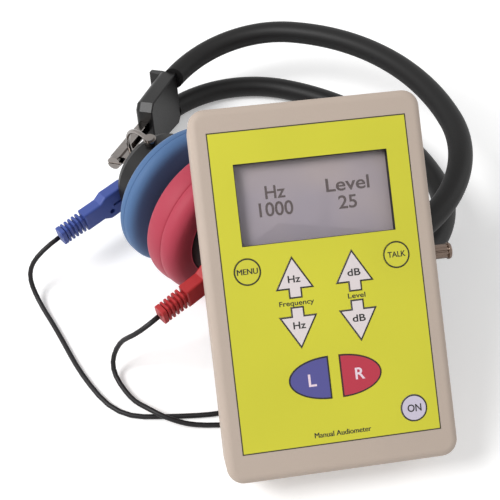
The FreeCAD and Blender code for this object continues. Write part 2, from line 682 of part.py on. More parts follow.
def ear_frame(side):
    """Frame of one earphone: z outward along the ear axis, x to the crown."""
    turn = Rotation(Vector(0, 1, 0), Vector(0, 0, side), Vector(side, 0, 0), "ZXY")
    inset = size("left_inset") if side < 0 else 0
    return Placement(Vector(inset, -size("ear_back"), size("ear_rise")), turn)


def band_frame(level):
    """Frame of one band, tilted about the hinge line; its bends lie in the xy plane."""
    tilt = size("splay_upper") if level > 0 else -size("splay_lower")
    turn = Rotation(Vector(1, 0, 0), tilt)
    shift = turn.multVec(Vector(0, level * size("band_shift"), 0))
    return Placement(shift + Vector(0, 0, level * size("band_spread") / 2), turn)


def moved(name, place, *pieces):
    """Pieces carried together into another frame."""
    item = group(name, *pieces)
    item.Placement = place
    return item


def sweep(name, edges, radius, start, course):
    """Round bar along a run of tangent lines and arcs."""
    spine = document.addObject("Part::Feature", name + "_spine")
    spine.Shape = Part.Wire(edges)
    section = document.addObject("Part::Circle", name + "_section")
    bind(section, Radius=radius)
    section.Placement = Placement(start, Rotation(Vector(0, 0, 1), course))
    tube = document.addObject("Part::Sweep", name + "_tube")
    tube.Sections = [section]
    tube.Spine = (spine, [f"Edge{n}" for n in range(1, len(edges) + 1)])
    tube.Solid = True
    tube.Frenet = False
    tube.Transition = "Transformed"
    return tube


# ---------------------------------------------------------------- bands
def bend(name, place, radius, thickness, start, sweep, back=False):
    """Bent round bar: part of a ring, from a start angle onward or back, in the xy plane."""
    item = document.addObject("Part::Torus", name)
    bind(item, Radius1=radius, Radius2=thickness, Angle3=sweep)
    turn = Rotation(Vector(0, 0, 1), start)
    if back:
        turn = turn.multiply(Rotation(Vector(1, 0, 0), 180))
    item.Placement = Placement(place, turn)
    return item


def band_end(name, side, thickness, stub):
    """Side bend of a band and the straight stub that goes into its slider."""
    crown, turn = size("crown_angle"), size("side_angle")
    reach = size("crown_bend") - size("side_bend")
    lean = math.radians(crown)
    middle = Vector(side * reach * math.sin(lean), CROWN_CENTRE + reach * math.cos(lean), 0)
    start = 90 - side * crown
    angle = math.radians(90 - crown - turn)
    foot = middle + Vector(side * math.cos(angle), math.sin(angle), 0) * size("side_bend")
    course = Vector(side * math.sin(angle), -math.cos(angle), 0)
    end = document.addObject("Part::Cylinder", name + "_stub")
    bind(end, Radius=thickness, Height=stub)
    end.Placement = Placement(foot - course * 0.01, Rotation(Vector(0, 0, 1), course))
    return [bend(name + "_side", middle, "side_bend", thickness, start, "side_angle", back=side > 0), end]


def band_bar(name, level, thickness, stub):
    """One band of a given thickness, with straight stubs at both ends."""
    start = 90 - size("crown_angle")
    centre = Vector(0, CROWN_CENTRE, 0)
    parts = [bend(name + "_crown", centre, "crown_bend", thickness, start, "2 * crown_angle")]
    for tag, side in SIDES.items():
        parts += band_end(f"{name}_{tag}", side, thickness, stub)
    return moved(name + "_bar", band_frame(level), join(name + "_join", *parts))


CROWN_CENTRE = size("crown_reach") - size("crown_bend")
BANDS = {"upper": 1, "lower": -1}
LEG = "max(crown_reach - leg_start; 0)"
STUBS = {"upper": f"5.4 + {LEG}", "lower": f"1.4 + {LEG}"}
for tag, level in BANDS.items():
    hollow = band_bar(f"{tag}_bore", level, "spring_radius + spring_gap", f"8 + {LEG}")
    trims = [moved(f"{tag}_{end}_trim", slider_frame(side), box(
        f"{tag}_{end}_trim_block", ("-slider_top - seat_gap", "-30", "-40"), ("60", "60", "80")))
        for end, side in SIDES.items()]
    tube = band_bar(f"{tag}_cover", level, "band_radius", f"2 + {LEG}")
    cover = cut(f"{tag}_cover_cut", tube, hollow, *trims)
    node(cover, f"{tag}_band_cover", "head")
    node(band_bar(f"{tag}_spring", level, "spring_radius", STUBS[tag]), f"{tag}_band_spring", "head")

# ---------------------------------------------------------------- sliders, arms and forks
def span(side, low, high):
    """Corner and length of a stretch across the arm, outward for either side."""
    return (low if side > 0 else f"-({high})"), f"({high}) - ({low})"


def slab(name, side, along, across, up):
    """Block in a slider frame from three stretches: along, outward and up."""
    start, width = span(side, *across)
    corner = (along[0], start, up[0])
    return box(name, corner, (f"({along[1]}) - ({along[0]})", width, f"({up[1]}) - ({up[0]})"))


HALF = "capsule_radius + fork_gap + fork_wire"
PIVOT = "ring_side + pivot_back"


def fork_wire(name, tag):
    """Wire of a fork, in the ear frame: two legs from the pivots and a base, with round corners."""
    half = size("capsule_radius") + size("fork_gap") + size("fork_wire")
    foot = size("ring_side") + size("pivot_back") + 1
    base = size("ring_side") + size(f"{tag}_fork_base")
    corner = size(f"{tag}_fork_corner")
    turn = corner * (1 - math.sqrt(0.5))
    first, last = Vector(0, half, foot), Vector(0, -half, foot)
    leg, shoulder = Vector(0, half, base - corner), Vector(0, half - corner, base)
    left_shoulder, left_leg = Vector(0, corner - half, base), Vector(0, -half, base - corner)
    edges = [
        Part.LineSegment(first, leg).toShape(),
        Part.Arc(leg, Vector(0, half - turn, base - turn), shoulder).toShape(),
        Part.LineSegment(shoulder, left_shoulder).toShape(),
        Part.Arc(left_shoulder, Vector(0, turn - half, base - turn), left_leg).toShape(),
        Part.LineSegment(left_leg, last).toShape(),
    ]
    return sweep(name, edges, "fork_wire", first, Vector(0, 0, 1))


for tag, side in SIDES.items():
    place = slider_frame(side)
    ear = ear_frame(side)
    shell = Body(f"{tag}_slider")
    outline = [("-slider_top", "-slider_tall + 3"), ("-slider_top + 3.5", "-slider_tall"),
               ("slider_length * 0.66", "-slider_tall + 1.5"), ("slider_length", "-slider_tip"),
               ("slider_length", "slider_tall - 7"), ("slider_length * 0.9", "slider_tall - 2.6"),
               ("-slider_top", "slider_tall")]
    shell.pad(shell.polygon(outline, role="XZ_Plane", lift="-slider_thick"), "2 * slider_thick")
    shell.soften("Fillet", "slider_thick * 0.7",
                 lambda edge: edge.BoundBox.YLength < 0.01 and side * edge.BoundBox.YMin > 0)
    shell.soften("Fillet", "0.8", lambda edge: edge.BoundBox.YLength < 0.01 and side * edge.BoundBox.YMin < 0)
    root, brow = f"{side} * (slider_thick - 1.6)", f"{side} * (slider_thick + tab_reach)"
    hook = [("-slider_top - tab_thick", root), ("-slider_top + 1.5", root),
            ("-slider_top + 1.5", f"{side} * slider_thick"),
            ("-slider_top", brow), ("-slider_top - tab_thick", brow)]
    shell.pad(shell.polygon(hook, lift="1.6"), "13.2")
    slot = slab(f"{tag}_slot", side, ("arm_start - 12.5", "slider_length + 1"),
                ("-arm_depth / 2 - arm_gap", "arm_depth / 2 + arm_gap"),
                ("-arm_width / 2 - arm_gap", "arm_width / 2 + arm_gap"))
    seats = []
    for name, level in BANDS.items():
        pins = band_end(f"{tag}_{name}_seat", side, "spring_radius + seat_gap", f"{STUBS[name]} + 0.4")
        seats.append(moved(f"{tag}_{name}_seats", band_frame(level), *pins))
    blank = moved(f"{tag}_slider_blank", place, cut(f"{tag}_slider_slotted", shell.body, slot))
    node(cut(f"{tag}_slider_cut", blank, *seats), f"{tag}_slider", "head")

    stock = slab(f"{tag}_arm_stock", side, ("arm_start", "arm_end"), ("-arm_depth / 2", "arm_depth / 2"),
                 ("-arm_width / 2", "arm_width / 2"))
    hollow = slab(f"{tag}_arm_hollow", side, ("arm_start - 1", "arm_end + 1"),
                  ("-arm_depth / 2 - 1", "arm_depth / 2 - arm_wall"),
                  ("-arm_width / 2 + arm_wall", "arm_width / 2 - arm_wall"))
    node(moved(f"{tag}_arm_moved", place, cut(f"{tag}_arm_cut", stock, hollow)), f"{tag}_arm", "head")

    head = rod(f"{tag}_arm_head", ("arm_end", "0", "0"), "3.7", "2.2", "x")
    shank = rod(f"{tag}_arm_shank", ("arm_end - 6", "0", "0"), "1.25", "6.2", "x")
    notch = box(f"{tag}_arm_notch", ("arm_end + 1.2", "-4", "-0.45"), ("2", "8", "0.9"))
    node(moved(f"{tag}_arm_screw_moved", place, cut(f"{tag}_arm_screw_cut", join(
        f"{tag}_arm_screw_join", head, shank), notch)), f"{tag}_arm_screw", "head")

    reach = "-8.4" if side < 0 else "-14.4"
    block = slab(f"{tag}_fork_block", side, ("arm_end - 12", "arm_end - 1.5"),
                 (reach, "arm_depth / 2 - arm_wall - 0.02"),
                 ("-arm_width / 2 + arm_wall + 0.05", "arm_width / 2 - arm_wall - 0.05"))
    tapped = rod(f"{tag}_fork_tap", ("arm_end - 6.4", "0", "0"), "1.27", "8", "x")
    wires = [fork_wire(f"{tag}_fork", tag)]
    wires += [rod(f"{tag}_fork_eye_{name}", ("0", f"{way} * ({HALF}) - fork_wire - 0.2", PIVOT), "3.4",
                  "2 * fork_wire + 0.4", "y") for name, way in (("a", 1), ("b", -1))]
    holes = rod(f"{tag}_fork_holes", ("0", f"-({HALF}) - 3", PIVOT), "pivot_radius + pivot_gap",
                f"2 * ({HALF}) + 6", "y")
    wire = moved(f"{tag}_fork_wire", ear, cut(f"{tag}_fork_drilled", join(f"{tag}_fork_bar", *wires), holes))
    block_moved = moved(f"{tag}_fork_block_moved", place, cut(f"{tag}_fork_block_cut", block, tapped))
    node(join(f"{tag}_fork_join", wire, block_moved), f"{tag}_fork", "head")

    pins = []
    for name, way in (("a", 1), ("b", -1)):
        stem = rod(f"{tag}_pivot_stem_{name}", ("0", f"{way} * (capsule_radius - capsule_wall / 2)", PIVOT),
                   "pivot_radius", "capsule_wall / 2 + fork_gap + 2 * fork_wire + 0.4", "y")
        seat = ("0", f"{way} * ({HALF} + fork_wire + 0.3)", PIVOT)
        button = rod(f"{tag}_pivot_head_{name}", seat, "2.6", "0.9", "y")
        if way < 0:
            for item in (stem, button):
                item.Placement.Rotation = Rotation(Vector(1, 0, 0), 90)
        pins.append(join(f"{tag}_pivot_{name}", stem, button))
    node(group(f"{tag}_pivot_group", *pins), f"{tag}_pivot_pins", f"{tag}_ear")

    # ------------------------------------------------------------ earphone
    seat, drop = f"{tag}_seat", "left_drop" if side < 0 else "-right_drop"
    low, high = "ring_side + capsule_front", "ring_side + capsule_back"
    can = Body(f"{tag}_capsule")
    can.turn(can.polygon([("0", low), ("capsule_radius", low),
                          ("capsule_radius", f"{high} - 3.5"), ("capsule_radius - 1.8", high),
                          ("capsule_radius - capsule_wall", high),
                          ("capsule_radius - capsule_wall", f"{low} + capsule_wall"),
                          ("0", f"{low} + capsule_wall")], role="XZ_Plane"))
    sound = [("0", "0")] + [(f"7 * cos({60 * n}deg)", f"7 * sin({60 * n}deg)") for n in range(6)]
    can.pocket(can.circles(sound, "1.6", lift=low), "capsule_wall + 1", up=True)
    bores = rod(f"{tag}_pivot_bore", ("0", "-capsule_radius - 1", PIVOT), "pivot_radius + 0.02",
                "2 * capsule_radius + 2", "y")
    node(cut(f"{tag}_capsule_cut", can.body, bores), f"{tag}_capsule", f"{tag}_ear")
    lid = rod(f"{tag}_lid", ("0", "0", f"{high} - cap_thick"),
              "capsule_radius - capsule_wall - 0.05", "cap_thick")
    dish = rod(f"{tag}_lid_dish", ("0", "0", f"{high} - 0.5"), "capsule_radius - capsule_wall - 3", "1")
    lug = box(f"{tag}_lug", (f"-{seat} + 0.05", f"{drop} - 7", f"{high} - 1"),
              ("8", "14", "lead_out - ring_side - capsule_back + 4.2"))
    sockets = [rod(f"{tag}_socket{n}", (f"-{seat} - 1", f"{drop} + {3.5 * n}", "lead_out"),
                   "1.55", "7.5", "x")
               for n in (-1, 1)]
    node(cut(f"{tag}_lug_cut", join(f"{tag}_lug_join", cut(f"{tag}_lid_cut", lid, dish), lug), *sockets),
         f"{tag}_capsule_cap", f"{tag}_ear")
    node(rod(f"{tag}_driver_can", ("0", "0", f"{low} + capsule_wall"), "17.5", "driver_thick"),
         f"{tag}_driver", f"{tag}_ear")
    pad = Body(f"{tag}_cushion")
    inner = "capsule_radius + soft_gap"
    pad.turn(pad.polygon([
        ("cushion_hole", f"{low} - soft_gap"), ("cushion_hole", "ring_side - cushion_face + 2.4"),
        ("cushion_hole + 4", "ring_side - cushion_face + 0.8"),
        ("cushion_radius * 0.7", "ring_side - cushion_face"),
        ("cushion_radius * 0.88", "ring_side - cushion_face + 0.5"),
        ("cushion_radius * 0.93", "ring_side - cushion_face + 1.3"),
        ("cushion_radius * 0.935", "ring_side - cushion_face + 2.1"),
        ("cushion_radius * 0.965", "ring_side - cushion_face + 2.0"),
        ("cushion_radius * 0.99", "ring_side - 1.6"), ("cushion_radius", "ring_side + 1"),
        ("cushion_radius", "ring_side + 4"), ("cushion_radius * 0.985", "ring_side + 7"),
        ("cushion_radius * 0.965", "ring_side + 7.8"), ("cushion_radius * 0.955", "ring_side + 8.4"),
        ("cushion_radius * 0.98", "ring_side + 9.2"), ("cushion_radius * 0.99", "ring_side + 11.6"),
        ("cushion_radius * 0.965", "ring_side + 14.4"), ("cushion_radius * 0.9", "ring_side + 16.8"),
        ("cushion_radius * 0.82", "ring_side + cushion_back + 0.4"),
        (f"{inner} + 1.6", "ring_side + cushion_back"), (inner, "ring_side + cushion_back"),
        (inner, f"{low} - soft_gap")], role="XZ_Plane"))
    node(pad.body, f"{tag}_cushion", f"{tag}_ear")

    # ------------------------------------------------------------ lead plug
    shell = Body(f"{tag}_lead_plug")
    front_x, back_x = f"-{seat}", f"-{seat} - head_length"
    shell.pad(shell.polygon([
        (front_x, f"{drop} - head_wide * 0.36"), (f"{front_x} - 1.6", f"{drop} - head_wide / 2"),
        (f"{front_x} - 14.5", f"{drop} - head_wide / 2"), (f"{front_x} - 18.5", f"{drop} - neck_wide / 2"),
        (back_x, f"{drop} - neck_wide / 2"), (back_x, f"{drop} + neck_wide / 2"),
        (f"{front_x} - 18.5", f"{drop} + neck_wide / 2"), (f"{front_x} - 14.5", f"{drop} + head_wide / 2"),
        (f"{front_x} - 1.6", f"{drop} + head_wide / 2"), (front_x, f"{drop} + head_wide * 0.36")],
        lift="lead_out - head_thick / 2"), "head_thick")
    shell.soften("Fillet", "1.1", lambda edge: edge.BoundBox.ZLength < 0.01)
    prongs = [rod(f"{tag}_prong{n}", (f"-{seat} - 2", f"{drop} + {3.5 * n}", "lead_out"), "1.5", "8", "x")
              for n in (-1, 1)]
    slit = box(f"{tag}_plug_slit", (f"{front_x} - 11", f"{drop} - 0.8", "lead_out - head_thick"),
               ("12", "1.6", "2 * head_thick"))
    dimple = (f"{front_x} - 13", f"{drop} + {-side * 3.4}", "lead_out - head_thick")
    screw_hole = rod(f"{tag}_plug_dimple", dimple, "1.5", "head_thick / 2 + 2.4")
    node(join(f"{tag}_plug_join", cut(f"{tag}_plug_cut", shell.body, slit, screw_hole), *prongs),
         f"{tag}_lead_plug", f"{tag}_ear")
    ribs = [rod(f"{tag}_relief_core", (f"{back_x} - relief_length", drop, "lead_out"), "relief_radius - 2.1",
                "relief_length", "x")]
    for n in range(6):
        foot = (f"{back_x} - relief_length + {n} * relief_length / 6", drop, "lead_out")
        share = 0.125 if n == 0 else 0.095
        ribs.append(rod(f"{tag}_rib{n}", foot, f"relief_radius - {0.1 * (5 - n)}",
                        f"relief_length * {share}", "x"))
    node(join(f"{tag}_relief_join", *ribs), f"{tag}_strain_relief", f"{tag}_ear")

# ---------------------------------------------------------------- leads and their coils, on the table
# Corners of each lead after its plug, in the document's frame, and the coil that its spare length lies in
LEAD_CORNERS = {
    "left": (
        (-116.4, -20.0, 25.4), (-124.5, -24.3, 12.5), (-119.5, -34.3, 1.9), (-106.5, -53.3, 1.3),
        (-90.5, -80.3, 1.3), (-70.5, -102.3, 1.3), (-44.5, -102.3, 1.3), (-18.5, -100.8, 1.3),
        (1.5, -92.8, 1.3),
    ),
    "right": (
        (-58.9, -77.3, 36.5), (-70.9, -71.5, 20.5), (-76.6, -76.5, 3.0), (-65.0, -93.3, 1.9),
        (-55.0, -100.1, 5.0), (-47.0, -104.6, 5.0), (-33.5, -107.3, 1.4), (-8.4, -106.0, 1.3),
        (14.6, -103.0, 1.3), (29.5, -90.0, 1.3), (29.5, -68.0, 1.3), (36.6, -50.0, 1.3),
        (50.6, -44.5, 1.3),
    ),
}
COILS = {"left": (3.5, -69.3), "right": (55.5, -69.3)}
COIL_OUTER = 22.5
COIL_INNER = 8.0
COIL_TALL = 8.0
LINE_ENDS = {"left": (120, 80), "right": (112, 150)}
LINE_LEVEL = COIL_TALL + size("lead_radius") + 0.25


def lead(name, corners):
    """Round cord through hand-set corners, each rounded by an arc tangent to both runs."""
    spots = [Vector(*corner) for corner in corners]
    edges, start, radii = [], spots[0], []
    for before, corner, after in zip(spots, spots[1:], spots[2:]):
        inward, outward = (corner - before).normalize(), (after - corner).normalize()
        half = inward.getAngle(outward) / 2
        setback = 0.45 * min((corner - before).Length, (after - corner).Length)
        radius = setback / math.tan(half)
        first, last = corner - inward * setback, corner + outward * setback
        bisector = (outward - inward).normalize()
        middle = corner + bisector * (radius / math.cos(half) - radius)
        edges += [Part.LineSegment(start, first).toShape(), Part.Arc(first, middle, last).toShape()]
        start = last
        radii.append(round(radius, 1))
    edges.append(Part.LineSegment(start, spots[-1]).toShape())
    tube = sweep(name, edges, "lead_radius", spots[0], spots[1] - spots[0])
    document.recompute()
    length = sum(edge.Length for edge in edges)
    expected = length * math.pi * size("lead_radius") ** 2
    print(f"{name}: length {length:.1f}, bends {radii}, volume ratio {tube.Shape.Volume / expected:.4f}")
    return tube


def lowest(label, place):
    """Lowest point of one sub-part once it stands at a place."""
    shape = NODES[label][0].Shape.copy()
    shape.Placement = place.multiply(shape.Placement)
    return shape.optimalBoundingBox().ZMin


document.recompute()
unit_turn = Rotation(size("unit_turn"), 0, size("unit_lean"))
head_turn = Rotation(size("head_turn"), size("head_pitch"), size("head_roll"))
unit_low = lowest("rear_shell", Placement(Vector(), unit_turn))
RESTING = ("left_slider", "lower_band_cover", "left_cushion")
head_low = min(lowest(label, Placement(Vector(), head_turn)) for label in RESTING)
PLACES = {"unit": Placement(Vector(size("unit_east"), size("unit_north"), -unit_low), unit_turn)}
PLACES["plug"] = PLACES["unit"].multiply(
    Placement(Vector(0, size("jack_rise"), -size("jack_depth")), Rotation(Vector(0, 1, 0), 90)))
PLACES["head"] = Placement(Vector(size("head_east"), size("head_north"), -head_low), head_turn)
for tag, side in SIDES.items():
    PLACES[f"{tag}_ear"] = PLACES["head"].multiply(ear_frame(side))
PLACES["table"] = Placement()
print("heights", round(-unit_low, 3), round(-head_low, 3))

for tag, side in SIDES.items():
    reach = size(f"{tag}_seat") + size("head_length") + size("relief_length") + 0.4
    start = PLACES[f"{tag}_ear"].multVec(Vector(-reach, -side * size(f"{tag}_drop"), size("lead_out")))
    print(tag, "lead starts at", [round(value, 2) for value in start])
    outer = lead(f"{tag}_lead", (tuple(start),) + LEAD_CORNERS[tag])
    outlet = Vector(side * size("line_side"), -size("line_drop"), -size("case_depth") - 15.4)
    socket = PLACES["unit"].multVec(outlet)
    course = PLACES["unit"].Rotation.multVec(Vector(0, 0, -1))
    print(tag, "line lead starts at", [round(value, 2) for value in socket])
    corners = [tuple(socket), tuple(socket + course * 13)]
    for angle in LINE_ENDS[tag]:
        lean = math.radians(angle)
        east, north = COILS[tag][0], COILS[tag][1]
        corners.append((east + 19.5 * math.cos(lean), north + 19.5 * math.sin(lean), LINE_LEVEL))
    inner = lead(f"{tag}_line", corners)
    ring = Body(f"{tag}_coil")
    ring.turn(ring.polygon([(str(COIL_INNER), "0.1"), (str(COIL_OUTER), "0.1"),
                            (str(COIL_OUTER), str(COIL_TALL)), (str(COIL_INNER), str(COIL_TALL))],
                           role="XZ_Plane"))
    ring.body.Placement = Placement(Vector(*COILS[tag], 0), Rotation())
    node(ring.body, f"{tag}_coil", "table")
    node(group(f"{tag}_lead_group", outer, inner), f"{tag}_lead", "table")

# ---------------------------------------------------------------- check, stand everything up and export
document.recompute()
bad = [item.Label for item in document.Objects if {"Invalid", "Error"} & set(item.State)]
assert not bad, bad
os.makedirs("parts", exist_ok=True)
for label, (item, frame) in NODES.items():
    item.Placement = PLACES[frame].multiply(item.Placement)
    assert not item.Shape.isNull() and item.Shape.isValid(), label
    item.Shape.exportStep(f"parts/{label}.step")
print(len(NODES), "sub-parts", sum(len(item.Shape.Solids) for item, _ in NODES.values()), "solids")
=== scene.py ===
"""Looks of a screening audiometer: a hand-held unit that leans on its two-band headset.

Every size inside a class is in millimetres, in the local frame that the class names. Pieces are put
into the row frame, in metres, when their meshes are made.
"""
import logging
import math
from dataclasses import dataclass
from enum import Enum

import bpy
import numpy as np
from mathutils import Matrix, Vector


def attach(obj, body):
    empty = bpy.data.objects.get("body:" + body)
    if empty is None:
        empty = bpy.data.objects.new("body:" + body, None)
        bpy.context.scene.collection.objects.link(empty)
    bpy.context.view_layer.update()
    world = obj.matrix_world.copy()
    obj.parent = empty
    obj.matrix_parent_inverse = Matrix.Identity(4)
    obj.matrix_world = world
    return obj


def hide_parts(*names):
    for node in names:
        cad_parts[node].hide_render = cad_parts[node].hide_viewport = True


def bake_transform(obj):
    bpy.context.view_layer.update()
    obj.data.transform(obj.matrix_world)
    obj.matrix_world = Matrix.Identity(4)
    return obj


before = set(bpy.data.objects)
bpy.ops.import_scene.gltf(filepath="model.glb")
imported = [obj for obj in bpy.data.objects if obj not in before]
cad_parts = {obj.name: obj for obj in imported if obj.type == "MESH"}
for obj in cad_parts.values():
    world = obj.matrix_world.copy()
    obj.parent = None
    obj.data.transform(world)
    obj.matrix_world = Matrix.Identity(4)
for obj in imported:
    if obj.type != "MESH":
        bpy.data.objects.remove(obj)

LOG = logging.getLogger("audiometer")
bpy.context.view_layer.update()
MM = 0.001
FULL = 2 * math.pi
WHITE = (1.0, 1.0, 1.0, 1.0)
Pair = tuple[float, float]
Triple = tuple[float, float, float]
Pairs = tuple[Pair, ...]
Words = tuple[tuple[str, str, Pair, Pair], ...]


# ---------- places
def turn(yaw: float, pitch: float = 0.0, roll: float = 0.0) -> np.ndarray:
    """Rotation matrix: roll about X, then pitch about Y, then yaw about Z.

    Args:
        yaw: Degrees about Z.
        pitch: Degrees about Y.
        roll: Degrees about X.

    Returns:
        A 3 by 3 array whose columns are the turned axes.
    """
    a, b, c = (math.radians(value) for value in (yaw, pitch, roll))
    about_z = np.array([[math.cos(a), -math.sin(a), 0], [math.sin(a), math.cos(a), 0], [0, 0, 1]])
    about_y = np.array([[math.cos(b), 0, math.sin(b)], [0, 1, 0], [-math.sin(b), 0, math.cos(b)]])
    about_x = np.array([[1, 0, 0], [0, math.cos(c), -math.sin(c)], [0, math.sin(c), math.cos(c)]])
    return about_z @ about_y @ about_x


@dataclass(frozen=True)
class Place:
    """Local frame of a sub-assembly, in millimetres, inside the row frame."""

    origin: np.ndarray
    axes: np.ndarray

    def world(self, points: np.ndarray) -> np.ndarray:
        """Brings points out of this frame: origin plus axes times point.

        Args:
            points: Local points, in millimetres.

        Returns:
            The same points in row-frame metres.
        """
        return (points @ self.axes.T + self.origin) * MM

    def inside(self, origin: Triple, axes: np.ndarray) -> "Place":
        """Frame that is given within this one.

        Args:
            origin: Its origin in this frame.
            axes: Its axes in this frame, as columns.

        Returns:
            The frame within the row frame.
        """
        return Place(self.origin + self.axes @ np.array(origin, float), self.axes @ axes)


UNIT = Place(np.array([26.0, -75.5, 74.856]), turn(8.37, 0.0, 37.82))
HEAD = Place(np.array([-8.6, 23.7, 26.715]), turn(-47.76, -5.92, 3.70))
EAR_DOWN, EAR_UP = -34.4, 15.45
LEFT_INWARD = 3.4


class Side(Enum):
    """The two ears, with the sign of their side of the headset."""

    LEFT = -1
    RIGHT = 1

    @property
    def tag(self) -> str:
        """Name of the side as the CAD nodes spell it."""
        return self.name.lower()

    @property
    def ear(self) -> Place:
        """Frame on the ear axis: x to the crown, z outward. The left ear sits a little inward."""
        across = LEFT_INWARD if self is Side.LEFT else 0.0
        axes = np.array([[0, 0, self.value], [1, 0, 0], [0, self.value, 0]], float)
        return HEAD.inside((across, EAR_DOWN, EAR_UP), axes)


# ---------- shader sockets
class Wire:
    """One output socket that takes part in sums; each operator adds its Math node."""

    def __init__(self, paint: "Paint", socket: bpy.types.NodeSocket) -> None:
        """Keeps the socket and the paint whose tree it is in."""
        self.paint = paint
        self.socket = socket

    def _sum(self, operation: str, first: "Wire | float", second: "Wire | float") -> "Wire":
        """Adds a Math node for one operation on two values."""
        return self.paint.node("ShaderNodeMath", {"operation": operation}, {0: first, 1: second})

    def __add__(self, other: "Wire | float") -> "Wire":
        """Sum."""
        return self._sum("ADD", self, other)

    def __radd__(self, other: float) -> "Wire":
        """Sum with a number on the left."""
        return self._sum("ADD", other, self)

    def __sub__(self, other: "Wire | float") -> "Wire":
        """Difference."""
        return self._sum("SUBTRACT", self, other)

    def __mul__(self, other: "Wire | float") -> "Wire":
        """Product."""
        return self._sum("MULTIPLY", self, other)

    def __abs__(self) -> "Wire":
        """Size without its sign."""
        return self.paint.node("ShaderNodeMath", {"operation": "ABSOLUTE"}, {0: self})

    def most(self, other: "Wire | float") -> "Wire":
        """The larger of the two."""
        return self._sum("MAXIMUM", self, other)

    def ramp(self, low: float, high: float, start: float = 0.0, end: float = 1.0) -> "Wire":
        """Smooth step while the value goes from low to high.

        Args:
            low: Value where the step begins.
            high: Value where it ends.
            start: What it gives up to low.
            end: What it gives from high on.

        Returns:
            The wire of the step.
        """
        inputs = {"Value": self, "From Min": low, "From Max": high, "To Min": start, "To Max": end}
        return self.paint.node("ShaderNodeMapRange", {"interpolation_type": "SMOOTHSTEP"}, inputs)


def linear(colour: Triple) -> tuple[float, float, float, float]:
    """Scene-linear colour of an sRGB one.

    Args:
        colour: Red, green and blue from 0 to 255.

    Returns:
        Red, green and blue from 0 to 1, and full cover.
    """
    values = np.array(colour, float) / 255
    bright = ((values + 0.055) / 1.055) ** 2.4
    flat = np.where(values <= 0.04045, values / 12.92, bright)
    return (*flat.tolist(), 1.0)


class Paint:
    """Node tree of one material or world while it is put together."""

    def __init__(self, owner: bpy.types.Material | bpy.types.World, kind: str = "Material") -> None:
        """Empties the owner's tree and gives it an output.

        Args:
            owner: Material or world.
            kind: "Material" or "World", as Blender's output nodes spell it.
        """
        owner.use_nodes = True
        self.tree = owner.node_tree
        self.tree.nodes.clear()
        self.output = self.tree.nodes.new(f"ShaderNodeOutput{kind}")
        self._object: Wire | None = None

    def node(self, kind: str, settings: dict | None = None, inputs: dict | None = None,
             out: int | str = 0) -> Wire:
        """Adds one node.

        Args:
            kind: Blender's node type.
            settings: Properties that are set before the sockets.
            inputs: Values or wires by socket name or number.
            out: Output socket to hand back.

        Returns:
            The wire of that output.
        """
        made = self.tree.nodes.new(kind)
        for key, value in (settings or {}).items():
            setattr(made, key, value)
        for key, value in (inputs or {}).items():
            if isinstance(value, Wire):
                self.tree.links.new(value.socket, made.inputs[key])
            else:
                made.inputs[key].default_value = value
        return Wire(self, made.outputs[out])

    @property
    def where(self) -> Wire:
        """Object coordinates, which are row-frame metres on every piece."""
        if self._object is None:
            self._object = self.node("ShaderNodeTexCoord", out="Object")
        return self._object

    def local(self, place: Place) -> Wire:
        """Object coordinates brought into a place, in millimetres."""
        angles = Matrix(place.axes.tolist()).to_euler("XYZ")
        inputs = {"Vector": self.where, "Location": tuple(place.origin * MM), "Rotation": tuple(angles),
                  "Scale": (MM, MM, MM)}
        return self.node("ShaderNodeMapping", {"vector_type": "TEXTURE"}, inputs)

    def split(self, vector: Wire) -> tuple[Wire, Wire, Wire]:
        """The three numbers of a vector."""
        node = self.node("ShaderNodeSeparateXYZ", inputs={"Vector": vector}).socket.node
        return tuple(Wire(self, node.outputs[axis]) for axis in range(3))

    def noise(self, size: float, detail: float = 2.0, vector: Wire | None = None) -> Wire:
        """Cloudy pattern from 0 to 1.

        Args:
            size: Width of its lumps, in millimetres.
            detail: Finer layers on top.
            vector: Where it is read, if not at the object's own points.

        Returns:
            The wire of the pattern.
        """
        inputs = {"Vector": vector or self.where, "Scale": 1.0 / (size * MM), "Detail": detail}
        return self.node("ShaderNodeTexNoise", inputs=inputs)

    def cells(self, size: float) -> Wire:
        """Distance pattern of rounded pebbles about size millimetres wide."""
        inputs = {"Vector": self.where, "Scale": 1.0 / (size * MM), "Smoothness": 0.6}
        return self.node("ShaderNodeTexVoronoi", {"feature": "SMOOTH_F1"}, inputs)

    def mix(self, share: Wire | float, first: "Wire | tuple", second: "Wire | tuple") -> Wire:
        """Colour between two colours."""
        return self.node("ShaderNodeMix", {"data_type": "RGBA"}, {0: share, 6: first, 7: second}, out=2)

    def bump(self, height: Wire, depth: float) -> Wire:
        """Normal of a relief that is depth millimetres high where height is 1."""
        return self.node("ShaderNodeBump", inputs={"Distance": depth * MM, "Height": height})

    def seen(self) -> Wire:
        """One where a ray comes from the eye, a mirror or a clear plate, and zero elsewhere."""
        node = self.node("ShaderNodeLightPath").socket.node
        rays = [Wire(self, node.outputs[f"Is {kind} Ray"]) for kind in ("Camera", "Glossy", "Transmission")]
        return rays[0].most(rays[1]).most(rays[2])

    def end(self, shader: Wire) -> None:
        """Joins a shader to the output."""
        self.tree.links.new(shader.socket, self.output.inputs["Surface"])

    def surface(self, inputs: dict) -> None:
        """Ends in a principled shader with these inputs."""
        self.end(self.node("ShaderNodeBsdfPrincipled", inputs=inputs))


# ---------- finishes
@dataclass(frozen=True)
class Finish:
    """A surface finish, made once as a material."""

    name: str
    slot: str
    colour: Triple

    def material(self) -> bpy.types.Material:
        """Material of this finish, made at its first use."""
        found = bpy.data.materials.get(self.name)
        if found is None:
            found = bpy.data.materials.new(self.name)
            self.coat(Paint(found))
        return found

    def coat(self, paint: Paint) -> None:
        """Puts the finish into an empty material."""
        raise NotImplementedError

    def shade(self, share: float) -> tuple[float, float, float, float]:
        """The finish's colour, lighter above 1 and darker below it."""
        return linear(tuple(min(255.0, value * share) for value in self.colour))


